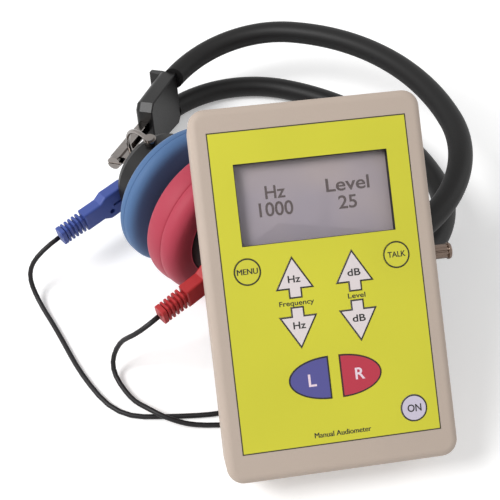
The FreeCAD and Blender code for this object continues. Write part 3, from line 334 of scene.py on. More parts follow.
@dataclass(frozen=True)
class Moulded(Finish):
    """Moulded plastic or rubber with a pebbled skin and a slight clouding of its colour."""

    grain: float = 0.6
    relief: float = 0.03
    rough: float = 0.5
    clouding: float = 0.04
    pits: float = 0.06
    gloss: float = 0.5
    sheen: float = 0.0

    def coat(self, paint: Paint) -> None:
        """Two sizes of pebbles raise the skin, and their pits and slow clouds darken it."""
        pebbles = paint.cells(self.grain)
        fine = paint.noise(self.grain * 0.7, detail=3.0)
        clouds = paint.noise(38.0, detail=2.0)
        tone = (clouds - 0.5) * self.clouding * 4 + (fine - 0.5) * self.pits * 2 + 0.5
        base = paint.mix(tone.ramp(0.0, 1.0), self.shade(1 - self.pits - self.clouding),
                         self.shade(1 + self.pits + self.clouding))
        height = pebbles * 0.6 + fine * 0.4
        rough = (fine - 0.5) * 0.12 + self.rough
        paint.surface({"Base Color": base, "Roughness": rough, "Normal": paint.bump(height, self.relief),
                       "Specular IOR Level": self.gloss, "Sheen Weight": self.sheen})


@dataclass(frozen=True)
class KeyFilm(Moulded):
    """Smooth printed film over a key."""

    grain: float = 0.3
    relief: float = 0.008
    rough: float = 0.42
    pits: float = 0.01


@dataclass(frozen=True)
class SoftSkin(Moulded):
    """Matt skin of a moulded ear cushion."""

    grain: float = 0.5
    relief: float = 0.02
    rough: float = 0.62
    clouding: float = 0.05
    pits: float = 0.03
    gloss: float = 0.35
    sheen: float = 0.12


@dataclass(frozen=True)
class Plated(Finish):
    """Polished metal plating with faint hairlines and smudges."""

    rough: float = 0.14
    hairlines: float = 0.06

    def coat(self, paint: Paint) -> None:
        """Stretched noise makes hairlines in the roughness; slow noise makes smudges."""
        inputs = {"Vector": paint.where, "Scale": (1.0, 1.0, 14.0)}
        stretched = paint.node("ShaderNodeMapping", inputs=inputs)
        lines = paint.noise(0.5, detail=4.0, vector=stretched)
        smudges = paint.noise(6.0, detail=2.0)
        base = paint.mix(smudges, self.shade(0.9), self.shade(1.04))
        rough = (lines - 0.5) * self.hairlines * 2 + (smudges - 0.5) * 0.1 + self.rough
        paint.surface({"Base Color": base, "Metallic": 1.0, "Roughness": rough,
                       "Normal": paint.bump(lines, 0.004)})


@dataclass(frozen=True)
class Film(Finish):
    """Printed keypad film in the unit's frame: satin colour with a dark line round its edge."""

    half: Pair = (44.0, 69.75)
    line: float = 0.45
    ink: Triple = (52, 50, 34)

    def coat(self, paint: Paint) -> None:
        """The line is where the larger of |x| - half width and |y| - half height nears zero."""
        x, y, _ = paint.split(paint.local(UNIT))
        edge = (abs(x) - self.half[0]).most(abs(y) - self.half[1])
        line = edge.ramp(-self.line - 0.1, -self.line + 0.1)
        fade = paint.noise(60.0, detail=1.0)
        fine = paint.noise(0.25, detail=2.0)
        ground = paint.mix(fade.ramp(0.3, 0.7), self.shade(0.985), self.shade(1.015))
        base = paint.mix(line, ground, linear(self.ink))
        rough = (fine - 0.5) * 0.14 + 0.42
        paint.surface({"Base Color": base, "Roughness": rough, "Normal": paint.bump(fine, 0.006),
                       "Specular IOR Level": 0.45})


@dataclass(frozen=True)
class Ink(Finish):
    """Screen-printed ink: a dense even colour with a slight tooth."""

    rough: float = 0.5

    def coat(self, paint: Paint) -> None:
        """Fine noise varies the ink's density a little."""
        tooth = paint.noise(0.2, detail=2.0)
        base = paint.mix(tooth, self.shade(0.92), self.shade(1.08))
        paint.surface({"Base Color": base, "Roughness": (tooth - 0.5) * 0.1 + self.rough})


@dataclass(frozen=True)
class Crystal(Finish):
    """Display glass: a grey field with a painted sheen that is lighter up and across it and shifts over it,
    in the unit's frame.
    """

    # Darker grey of the painted sheen, low on the glass.
    second: Triple = (156, 146, 156)
    middle: float = 37.4

    def coat(self, paint: Paint) -> None:
        """Painted sheen: a slope up and across the glass, moved by slow noise, blends a darker grey low down
        into the lighter field colour higher up.
        """
        x, y, _ = paint.split(paint.local(UNIT))
        drift = paint.noise(26.0, detail=1.0)
        # Painted sheen: the glass is drawn lighter up and across it.
        painted_sheen = (y - self.middle) * 0.012 + x * 0.004 + drift
        base = paint.mix(painted_sheen.ramp(0.15, 0.85), linear(self.second), self.shade(1.0))
        rough = (drift - 0.5) * 0.05 + 0.22
        paint.surface({"Base Color": base, "Roughness": rough, "Specular IOR Level": 0.4})


@dataclass(frozen=True)
class Clear(Finish):
    """Clear plate that shows only its gloss."""

    haze: float = 0.06

    def coat(self, paint: Paint) -> None:
        """Almost see-through, with faint wiping marks in the gloss."""
        marks = paint.noise(5.0, detail=3.0)
        alpha = (marks - 0.5) * 0.02 + self.haze
        rough = (marks - 0.5) * 0.04 + 0.06
        paint.surface({"Base Color": self.shade(1.0), "Roughness": rough, "Alpha": alpha})


@dataclass(frozen=True)
class Laminate(Finish):
    """Circuit board: solder mask over tracks, in the unit's frame."""

    track: Triple = (60, 150, 96)

    def coat(self, paint: Paint) -> None:
        """The edges between cells make runs of track under the mask."""
        inputs = {"Vector": paint.local(UNIT), "Scale": 0.35, "Randomness": 0.8}
        runs = paint.node("ShaderNodeTexVoronoi", {"feature": "DISTANCE_TO_EDGE"}, inputs)
        mask = runs.ramp(0.08, 0.12, 1.0, 0.0)
        base = paint.mix(mask, self.shade(1.0), linear(self.track))
        paint.surface({"Base Color": base, "Roughness": 0.35 + mask * 0.1, "Normal": paint.bump(mask, 0.03)})


CASE = Moulded("case_grain", "case_plastic", (190, 174, 161),
               grain=0.85, relief=0.06, rough=0.6, pits=0.04, gloss=0.35)
BLACK = Moulded("black_moulding", "black_plastic", (16, 15, 15),
                grain=0.7, relief=0.02, rough=0.45, pits=0.08, gloss=0.3)
SATIN_BLACK = Moulded("satin_black", "black_plastic", (14, 13, 13),
                      grain=1.4, relief=0.02, rough=0.36, pits=0.06, gloss=0.3)
VINYL = Moulded("band_vinyl_grain", "band_vinyl", (16, 15, 15),
                grain=1.1, relief=0.05, rough=0.5, pits=0.1, gloss=0.28)
FOOT = Moulded("foot_rubber_skin", "foot_rubber", (44, 44, 46), grain=0.5, relief=0.02, rough=0.75)
CELL = Moulded("cell_sleeve", "cell_label", (52, 60, 70), grain=2.0, relief=0.01, rough=0.3)
GREY_CAP = Moulded("grey_cap", "cap_grey", (92, 92, 98), grain=0.6, relief=0.02, rough=0.45)
CHIP = Moulded("chip_mould", "chip_black", (36, 36, 38), grain=0.4, relief=0.02, rough=0.6)
KEY_WHITE = KeyFilm("key_white_film", "key_white", (226, 216, 216), rough=0.4)
KEY_YELLOW = KeyFilm("key_yellow_film", "key_yellow", (208, 204, 58))
KEY_PALE = KeyFilm("key_pale_film", "key_pale", (208, 200, 218), rough=0.4)
KEY_BLUE = KeyFilm("key_blue_film", "key_blue", (82, 80, 146), pits=0.02)
KEY_RED = KeyFilm("key_red_film", "key_red", (186, 50, 70), pits=0.02)
CUSHION_BLUE = SoftSkin("cushion_blue_skin", "cushion_blue", (76, 110, 154))
CUSHION_RED = SoftSkin("cushion_red_skin", "cushion_red", (176, 58, 78), rough=0.6)
PLUG_BLUE = Moulded("plug_blue_rubber", "plug_blue", (62, 82, 156), relief=0.02, pits=0.03)
PLUG_RED = Moulded("plug_red_rubber", "plug_red", (176, 38, 42), relief=0.02, pits=0.03)
JACKET = Moulded("lead_jacket", "plug_blue", (24, 22, 24),
                 grain=0.5, relief=0.01, rough=0.45, pits=0.05, gloss=0.3)
NICKEL = Plated("nickel_plate", "nickel", (206, 204, 202), rough=0.16)
CHROME = Plated("chrome_plate", "chrome_wire", (140, 134, 130), rough=0.12, hairlines=0.04)
# Painted shade: a darker, browner copy of the nickel finish for the plug and socket on the unit's right side,
# which lies in shade.
SHADED_NICKEL = Plated("painted_shade_nickel", "nickel", (122, 106, 96), rough=0.22, hairlines=0.08)
STEEL = Plated("spring_steel", "dome_steel", (180, 182, 186), rough=0.28)
YELLOW = Film("overlay_film", "overlay_yellow", (210, 206, 56))
PRINT = Ink("black_print", "foot_rubber", (16, 15, 14))
PALE_PRINT = Ink("pale_print", "key_white", (236, 214, 226))
CRYSTAL = Crystal("display_field", "lcd_grey", (172, 158, 158))
SEGMENT = Ink("display_segment", "foot_rubber", (66, 48, 46), rough=0.35)
LENS = Clear("lens_plate", "lens_clear", (250, 250, 255))
BOARD = Laminate("board_mask", "board_green", (26, 92, 60))


# ---------- meshes
def stand(name: str, data: bpy.types.ID) -> bpy.types.Object:
    """Puts a mesh, a curve, a camera or a lamp into the scene as an object of its own."""
    made = bpy.data.objects.new(name, data)
    bpy.context.scene.collection.objects.link(made)
    return made


def worked_out(name: str, curve: bpy.types.Curve) -> tuple[np.ndarray, list[list[int]]]:
    """Points and faces that Blender makes of a curve, whose own object is then taken away.

    Args:
        name: Name of that object.
        curve: Letters or a line.

    Returns:
        Its points, and the corner numbers of its faces.
    """
    rough = stand(name, curve)
    mesh = bpy.data.meshes.new_from_object(rough.evaluated_get(bpy.context.evaluated_depsgraph_get()))
    points = np.zeros(len(mesh.vertices) * 3)
    mesh.vertices.foreach_get("co", points)
    bpy.data.objects.remove(rough)
    return points.reshape(-1, 3), [list(polygon.vertices) for polygon in mesh.polygons]


def grid_faces(rows: int, columns: int, closed: bool = True) -> np.ndarray:
    """Quads between neighbours of rings of points.

    Args:
        rows: Rings, one after another.
        columns: Points in each ring.
        closed: Whether the last ring joins the first.

    Returns:
        Four corner numbers to a face.
    """
    a, b = np.meshgrid(np.arange(rows if closed else rows - 1), np.arange(columns), indexing="ij")
    c, d = (a + 1) % rows, (b + 1) % columns
    return np.stack([a * columns + b, c * columns + b, c * columns + d, a * columns + d], -1).reshape(-1, 4)


def outward(points: np.ndarray, faces: np.ndarray) -> np.ndarray:
    """Faces of a closed skin turned outwards, so that its cones from the centre sum to more than zero."""
    corners = points[faces] - points.mean(axis=0)
    volume = sum(np.sum(corners[:, 0] * np.cross(corners[:, n], corners[:, n + 1])) for n in (1, 2))
    return faces if volume > 0 else faces[:, ::-1]


def tube_faces(points: np.ndarray, columns: int) -> list[list[int]]:
    """Outward faces of a tube with a flat face at either end.

    Args:
        points: Rings of the tube, one after another.
        columns: Points in each ring.

    Returns:
        The wall's quads, then the two ends.
    """
    rows = len(points) // columns
    faces = outward(points, grid_faces(rows, columns, False)).tolist()
    return faces + [list(range(columns))[::-1], list(range(len(points) - columns, len(points)))]


def show(name: str, points: np.ndarray, faces: np.ndarray | list[list[int]], finish: Finish,
         smooth: bool = True) -> bpy.types.Object:
    """Makes a mesh object at the origin with its place in its mesh.

    Args:
        name: Piece name.
        points: Corners in row-frame metres.
        faces: Corner numbers of each face.
        finish: Surface finish.
        smooth: Whether its faces are shaded smooth.

    Returns:
        The new object, which rides on nothing yet.
    """
    mesh = bpy.data.meshes.new(name)
    mesh.from_pydata(points.tolist(), [], faces if isinstance(faces, list) else faces.tolist())
    mesh.polygons.foreach_set("use_smooth", np.full(len(mesh.polygons), smooth))
    mesh.materials.append(finish.material())
    mesh.update()
    made = stand(name, mesh)
    LOG.info("made %s: %d corners, %d faces", name, len(mesh.vertices), len(mesh.polygons))
    return made


def dress(finish: Finish, *nodes: str) -> None:
    """Gives CAD nodes a finish through their material slots."""
    for node in nodes:
        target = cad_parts[node]
        if not target.material_slots:
            target.data.materials.append(None)
        for place in target.material_slots:
            place.material = finish.material()
        LOG.info("dressed %s in %s", node, finish.name)


def curve_through(corners: Pairs, steps: int) -> np.ndarray:
    """Smooth line through corners: a Catmull-Rom cubic on each stretch, steps points to a stretch.

    Args:
        corners: Points of the line.
        steps: Points on each stretch.

    Returns:
        The line's points, the last corner included.
    """
    knots = np.array(corners, float)
    padded = np.vstack([2 * knots[:1] - knots[1:2], knots, 2 * knots[-1:] - knots[-2:-1]])
    before, start, end, after = padded[:-3], padded[1:-2], padded[2:-1], padded[3:]
    t = (np.arange(steps) / steps)[None, :, None]
    before, start, end, after = (part[:, None, :] for part in (before, start, end, after))
    line = 0.5 * (2 * start + (end - before) * t + (2 * before - 5 * start + 4 * end - after) * t ** 2
                  + (3 * start - before - 3 * end + after) * t ** 3)
    return np.vstack([line.reshape(-1, knots.shape[1]), knots[-1:]])


def revolved(profile: np.ndarray, steps: int) -> tuple[np.ndarray, np.ndarray]:
    """Closed ring skin: a closed profile of radius r and height h turned about z.

    The point at angle a is (r cos a, r sin a, h).

    Args:
        profile: Radius and height of each profile point, going round.
        steps: Copies of the profile round the axis.

    Returns:
        Points and outward faces.
    """
    angle = np.arange(steps) * FULL / steps
    radius, height = profile[:, 0:1], profile[:, 1:2]
    points = np.stack([radius * np.cos(angle), radius * np.sin(angle), height + 0 * angle], -1).reshape(-1, 3)
    return points, outward(points, grid_faces(len(profile), steps))


def inset(outline: np.ndarray, gap: float) -> np.ndarray:
    """Outline moved inwards by a gap, with sharp corners kept.

    Each corner moves along the sum of its two edge normals, over one plus their dot product, which
    keeps every edge parallel to itself.

    Args:
        outline: Corners of a closed outline, anticlockwise.
        gap: Distance inwards.

    Returns:
        As many corners, moved.
    """
    edge = np.roll(outline, -1, axis=0) - outline
    edge = edge / np.linalg.norm(edge, axis=1)[:, None]
    ahead = np.stack([-edge[:, 1], edge[:, 0]], 1)
    behind = np.roll(ahead, 1, axis=0)
    share = 1 + np.einsum("ij,ij->i", ahead, behind)
    return outline + gap * (ahead + behind) / share[:, None]


def flat_ring(outline: np.ndarray, gap: float, width: float, low: float,
              high: float) -> tuple[np.ndarray, np.ndarray]:
    """Thin closed frame just inside an outline.

    Args:
        outline: Corners, anticlockwise.
        gap: Outline to the frame's outer edge.
        width: Outline to its inner edge.
        low: Level of its underside.
        high: Level of its top.

    Returns:
        Points and outward faces.
    """
    outer, inner = inset(outline, gap), inset(outline, width)
    levels = [(outer, low), (outer, high), (inner, high), (inner, low)]
    points = np.vstack([np.column_stack([line, np.full(len(line), level)]) for line, level in levels])
    return points, outward(points, grid_faces(len(levels), len(outline)))


def circle(centre: Pair, radius: float, steps: int = 72) -> np.ndarray:
    """Round outline, anticlockwise."""
    angle = np.arange(steps) * FULL / steps
    return np.column_stack([centre[0] + radius * np.cos(angle), centre[1] + radius * np.sin(angle)])


@dataclass(frozen=True)
class Legend:
    """Words on the face: their middle, their width and height, and their level over the overlay.

    Letters are made bolder by an offset of their outline, bold, or, where that would fold a narrow
    corner over, by a second plate that stands aside by twin and higher by step.
    """

    name: str
    words: str
    centre: Pair
    size: Pair
    body: str
    finish: Finish
    level: float = 0.12
    thick: float = 0.03
    bold: float = 0.016
    twin: float = 0.0
    step: float = 0.004

    def make(self) -> None:
        """Cuts the words as a thin closed plate in the unit's frame and sets it on its body."""
        curve = bpy.data.curves.new(self.name, "FONT")
        curve.body = self.words
        curve.extrude = 0.01
        curve.offset = 0.0 if self.twin else self.bold
        curve.resolution_u = 6
        points, faces = worked_out(self.name, curve)
        low, high = points.min(axis=0), points.max(axis=0)
        share = (points - low) / (high - low)
        wide, tall = self.size
        placed = np.column_stack([self.centre[0] + (share[:, 0] - 0.5) * wide,
                                  self.centre[1] + (share[:, 1] - 0.5) * tall,
                                  self.level + share[:, 2] * self.thick])
        if self.twin:
            faces += [[corner + len(placed) for corner in face] for face in faces]
            placed = np.vstack([placed, placed + (self.twin, 0.0, self.step)])
        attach(show(self.name, UNIT.world(placed), faces, self.finish, smooth=False), self.body)


# ---------- hand-held unit
class Handset:
    """Case, keypad, display and inner parts of the hand-held unit."""

    def build(self) -> None:
        """Dresses the case and everything in it."""
        dress(CASE, "front_shell", "rear_shell", "battery_door")
        dress(YELLOW, "keypad_overlay")
        dress(STEEL, "case_screws", "key_domes", "battery_contacts")
        dress(FOOT, "rubber_feet")
        dress(BOARD, "main_board")
        dress(CHIP, "board_chips")
        dress(CELL, "battery_cells")
        dress(NICKEL, "line_sockets")
        # The side socket takes the painted-shade copy of the nickel finish.
        dress(SHADED_NICKEL, "side_socket")
        dress(BLACK, "left_line_plug", "right_line_plug", "display_spacers", "lcd_frame")
        SidePlug().build()


@dataclass
class SidePlug:
    """Plug in the unit's side: a fluted barrel with a rolled lip, in the unit's frame.

    The section runs from tip to end: radius, distance out from the side and share of the flutes' depth.
    """

    rise: float = 7.2
    depth: float = 14.0
    start: float = 52.5
    flutes: int = 9
    flute: float = 0.62
    section: tuple[Triple, ...] = (
        (0.02, -11.5, 0), (2.33, -11.5, 0), (3.13, -10.0, 0), (3.13, 0.0, 0), (3.1, 0.0, 0.6), (3.3, 0.25, 1),
        (3.3, 7.0, 1), (3.2, 7.4, 0.4), (3.65, 7.7, 0.15), (3.9, 8.1, 0.15), (3.9, 8.8, 0.15), (3.5, 9.3, 0),
        (2.7, 9.6, 0), (0.02, 9.7, 0))

    def skin(self, steps: int) -> np.ndarray:
        """Points of the plug, steps to a ring.

        The radius at angle a is the section's radius less flute depth times share times the square
        root of the larger of zero and cos(n a), where n is the number of flutes.
        """
        radius, out, share = (column[:, None] for column in np.array(self.section).T)
        angle = np.arange(steps) * FULL / steps
        radius = radius - self.flute * share * np.sqrt(np.maximum(0, np.cos(self.flutes * angle)))
        across = self.start + out + 0 * angle
        points = [across, self.rise + radius * np.sin(angle), -self.depth + radius * np.cos(angle)]
        return np.stack(points, -1).reshape(-1, 3)

    def build(self, steps: int = 180) -> None:
        """Makes the plug in place of its plain solid."""
        points = self.skin(steps)
        # The plug takes the painted-shade copy of the nickel finish.
        plug = show("fluted_side_plug", UNIT.world(points), tube_faces(points, steps), SHADED_NICKEL)
        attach(plug, "test_plug")
        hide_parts("side_plug")


@dataclass
class Keypad:
    """Printed keys in the unit's frame: outlines and legends."""

    line: float = 0.52
    gap: float = 0.02
    level: float = 0.11
    thick: float = 0.03
    round_key: float = 11.6
    round_keys: tuple[tuple[str, Pair], ...] = (
        ("menu", (-33.0, 8.6)), ("talk", (33.0, 8.6)), ("power", (33.0, -59.1)))
    arrow_side: float = 13.25
    arrow_width: float = 16.4
    arrow_head: float = 14.0
    arrow_shaft: float = 5.6
    arrow_tail: float = 4.0
    arrow_bases: tuple[tuple[str, int, float, int], ...] = (
        ("frequency_up", -1, -1.0, 1), ("frequency_down", -1, -12.9, -1),
        ("level_up", 1, -1.0, 1), ("level_down", 1, -12.9, -1))
    tone_side: float = 2.5
    tone_drop: float = 41.0
    tone_reach: float = 17.9
    tone_height: float = 18.4
    key_words: Words = (
        ("menu", "MENU", (-33.08, 8.75), (9.05, 2.5)), ("talk", "TALK", (33.1, 8.8), (8.0, 2.5)),
        ("power", "ON", (33.2, -59.1), (6.2, 3.3)), ("frequency_up", "Hz", (-13.2, 3.3), (5.5, 3.1)),
        ("frequency_down", "Hz", (-13.1, -16.9), (5.5, 3.1)),
        ("level_up", "dB", (13.3, 3.2), (5.8, 3.1)), ("level_down", "dB", (13.3, -16.9), (5.8, 3.1)),
        ("left_tone", "L", (-10.3, -41.4), (3.5, 5.4)), ("right_tone", "R", (10.9, -40.9), (4.2, 5.1)))
    panel_words: Words = (
        ("frequency", "Frequency", (-13.2, -7.4), (15.4, 2.9)), ("level", "Level", (13.4, -7.0), (7.8, 2.2)),
        ("kind", "Manual Audiometer", (0.42, -65.4), (25.0, 2.3)))

    @staticmethod
    def twin(name: str) -> float:
        """How far a legend's second plate stands aside: only the words with an M have one."""
        return 0.16 if name in ("menu", "kind") else 0.0

    def arrow(self, side: int, base: float, way: int) -> np.ndarray:
        """Corners of an arrow key.

        Args:
            side: Side of the middle that it stands on, -1 or 1.
            base: Height of its head's base.
            way: Up (1) or down (-1).

        Returns:
            The corners, anticlockwise.
        """
        middle = side * self.arrow_side
        half, head = self.arrow_shaft / 2, self.arrow_width / 2
        corners = np.array([(-half, -self.arrow_tail), (half, -self.arrow_tail), (half, 0), (head, 0),
                            (0, self.arrow_head), (-head, 0), (-half, 0)], float)
        return (corners * [1, way] + [middle, base])[::way]

    def half_oval(self, side: int, steps: int = 40) -> np.ndarray:
        """Outline of a tone key: half an ellipse closed by its straight side, anticlockwise."""
        angle = np.linspace(-math.pi / 2, math.pi / 2, steps)
        across = side * (self.tone_side + self.tone_reach * np.cos(angle))
        up = self.tone_height / 2 * np.sin(angle) - self.tone_drop
        return np.column_stack([across, up])[::side]

    def frame_key(self, name: str, outline: np.ndarray) -> None:
        """Prints the black line just inside a key's edge."""
        points, faces = flat_ring(outline, self.gap, self.line, self.level, self.level + self.thick)
        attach(show(f"{name}_line", UNIT.world(points), faces, PRINT, smooth=False), f"{name}_button")

    def build(self) -> None:
        """Dresses the keys and prints their lines and legends."""
        dress(KEY_YELLOW, "menu_key", "talk_key")
        dress(KEY_PALE, "power_key")
        dress(KEY_WHITE, "frequency_up_key", "frequency_down_key", "level_up_key", "level_down_key")
        dress(KEY_BLUE, "left_tone_key")
        dress(KEY_RED, "right_tone_key")
        for name, centre in self.round_keys:
            self.frame_key(name, circle(centre, self.round_key / 2))
        for name, side, base, way in self.arrow_bases:
            self.frame_key(name, self.arrow(side, base, way))
        for side in Side:
            self.frame_key(f"{side.tag}_tone", self.half_oval(side.value))
        for name, words, centre, size in self.key_words:
            ink = PALE_PRINT if "tone" in name else PRINT
            Legend(f"{name}_words", words, centre, size, f"{name}_button", ink, twin=self.twin(name)).make()
        for name, words, centre, size in self.panel_words:
            Legend(f"{name}_words", words, centre, size, "unit", PRINT, 0.0, twin=self.twin(name)).make()


@dataclass
class Display:
    """Display window in the unit's frame: glass, its figures and the clear lens over it."""

    level: float = -4.49
    window: tuple[float, float, float, float] = (-34.0, 34.0, 19.5, 55.3)
    gap: float = 0.02
    lining: float = 0.24
    lining_levels: Pair = (-2.96, -0.03)
    figures: tuple[tuple[str, str, float, float, float, float], ...] = (
        ("display_hz", "Hz", -21.0, -12.0, 39.2, 45.0), ("display_pitch", "1000", -24.4, -9.2, 31.5, 37.8),
        ("display_level", "Level", 6.2, 25.8, 39.3, 45.3), ("display_value", "25", 11.0, 19.3, 31.3, 37.3))

    def build(self) -> None:
        """Dresses the glass and lens and sets the figures just over the glass."""
        dress(CRYSTAL, "lcd_glass")
        dress(LENS, "window_lens")
        left, right, low, high = self.window
        opening = np.array([(left, low), (right, low), (right, high), (left, high)])
        points, faces = flat_ring(opening, self.gap, self.lining, *self.lining_levels)
        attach(show("window_lining", UNIT.world(points), faces, BLACK, smooth=False), "unit")
        for name, words, left, right, low, high in self.figures:
            middle = ((left + right) / 2, (low + high) / 2)
            Legend(name, words, middle, (right - left, high - low), "unit", SEGMENT, level=self.level).make()


# ---------- headset
class Headset:
    """Bands, sliders and hangers of the headset."""

    def build(self) -> None:
        """Dresses the bands, their springs, the sliders and both hangers."""
        dress(VINYL, "upper_band_cover", "lower_band_cover")
        dress(STEEL, "upper_band_spring", "lower_band_spring")
        for tag in (side.tag for side in Side):
            dress(SATIN_BLACK, f"{tag}_slider")
            dress(CHROME, f"{tag}_arm", f"{tag}_arm_screw", f"{tag}_fork", f"{tag}_pivot_pins")


@dataclass(frozen=True)
class Fins:
    """Fins of a strain relief: sizes are half width and half thickness, places run along its axis."""

    count: int = 6
    long: float = 15.2
    first: float = 1.9
    pitch: float = 2.35
    core: Pair = (3.0, 2.2)
    size: Pair = (5.1, 3.7)
    taper: Pair = (0.06, 0.04)
    half: float = 0.62
    last_half: float = 1.2
    edge: float = 0.2
    run: float = 0.15
    blunt: float = 0.4
    columns: int = 40

    def stations(self) -> np.ndarray:
        """Place, half width and half thickness at each step of the outline, a row each."""
        rows = [(0.0, *self.core)]
        for number in range(self.count):
            middle = self.first + self.pitch * number
            wide, thick = (size - less * number for size, less in zip(self.size, self.taper))
            half = self.half if number < self.count - 1 else self.last_half
            low, high = middle - half, middle + half
            rim = (wide - self.edge, thick - self.edge)
            rows += [(low, *self.core), (low, *rim), (low + self.run, wide, thick),
                     (high - self.run, wide, thick), (high, *rim), (high, *self.core)]
        rows = np.array(rows)
        rows[:, 0] = np.minimum(rows[:, 0], self.long)
        return rows


FINS = Fins()


@dataclass(frozen=True)
class Section:
    """Section of a cushion, from the hole round to the skirt: radius and distance along the ear axis."""

    face: Pairs
    seam: Pairs
    back: Pairs
    front: Pairs = ((13.0, 13.2), (13.0, 9.2), (14.6, 7.8), (18.5, 6.9), (24.0, 6.4), (29.5, 6.4))
    face_steps: int = 6
    back_steps: int = 5

    def line(self) -> np.ndarray:
        """Closed line of the section: smooth over the face and the wall, sharp at the seam."""
        face = curve_through(self.front + self.face, self.face_steps)
        return np.vstack([face, self.seam, curve_through(self.back, self.back_steps)])


SECTIONS = {
    Side.LEFT: Section(
        ((33.6, 6.6), (35.8, 7.2), (37.3, 8.3), (38.2, 9.8), (38.45, 11.3), (38.4, 12.2)),
        ((38.2, 12.4), (37.95, 12.5), (38.2, 12.6)),
        ((38.4, 12.85), (38.4, 14.3), (38.0, 15.8), (37.1, 17.0), (35.6, 17.9), (33.6, 18.5), (31.0, 19.6),
         (28.4, 22.0), (26.6, 24.8), (25.4, 26.2), (24.85, 26.0), (24.85, 20.0), (24.85, 13.3))),
    Side.RIGHT: Section(
        ((33.2, 6.9), (35.4, 7.9), (37.3, 9.1), (38.1, 10.6), (38.45, 12.6), (38.45, 15.2), (38.2, 17.2),
         (37.8, 18.7), (37.5, 19.35)),
        ((37.3, 19.5), (37.1, 19.6), (37.3, 19.7)),
        ((37.55, 19.9), (37.8, 21.2), (37.75, 23.0), (37.1, 25.2), (35.7, 27.1), (33.6, 28.4), (30.8, 28.8),
         (27.0, 28.5), (25.3, 28.4), (24.85, 28.1), (24.85, 20.0), (24.85, 13.3))),
}


@dataclass
class Earphone:
    """One earphone in its ear frame: capsule, cushion and lead plug."""

    side: Side
    lead_out: float = 43.15
    plug_long: float = 29.3
    steps: int = 160

    @property
    def seat(self) -> float:
        """Front of the lead plug, from the ear axis."""
        return 16.6 if self.side is Side.LEFT else 13.2

    @property
    def drop(self) -> float:
        """Middle of the lead plug, across the ear axis."""
        return 4.8 if self.side is Side.LEFT else -0.2

    def relief(self) -> np.ndarray:
        """Points of the finned strain relief behind the lead plug, in the ear frame.

        Each station along x is a rounded oblong: the point at angle a is (w |cos a|^p, t |sin a|^p) with
        the signs of cos a and sin a, where w and t are the station's half width and half thickness and p
        is the fins' bluntness.
        """
        along, wide, thick = (column[:, None] for column in FINS.stations().T)
        angle = (np.arange(FINS.columns) + 0.5) * FULL / FINS.columns
        wave = np.stack([np.cos(angle), np.sin(angle)])
        oblong = np.sign(wave) * np.abs(wave) ** FINS.blunt
        x = -(self.seat + self.plug_long + along) + 0 * angle
        points = [x, self.drop + wide * oblong[0], self.lead_out + thick * oblong[1]]
        return np.stack(points, -1).reshape(-1, 3)

    def build(self) -> None:
        """Makes the cushion and dresses the rest."""
        tag = self.side.tag
        skin = CUSHION_BLUE if self.side is Side.LEFT else CUSHION_RED
        rubber = PLUG_BLUE if self.side is Side.LEFT else PLUG_RED
        points, faces = revolved(SECTIONS[self.side].line(), self.steps)
        cushion = show(f"{tag}_ear_cushion", self.side.ear.world(points), faces, skin)
        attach(cushion, f"{tag}_earphone")
        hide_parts(f"{tag}_cushion")
        dress(BLACK, f"{tag}_capsule", f"{tag}_capsule_cap")
        dress(GREY_CAP, f"{tag}_driver")
        dress(rubber, f"{tag}_lead_plug")
        points = self.relief()
        faces = tube_faces(points, FINS.columns)
        relief = show(f"{tag}_finned_relief", self.side.ear.world(points), faces, rubber, smooth=False)
        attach(relief, f"{tag}_earphone")
        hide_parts(f"{tag}_strain_relief")


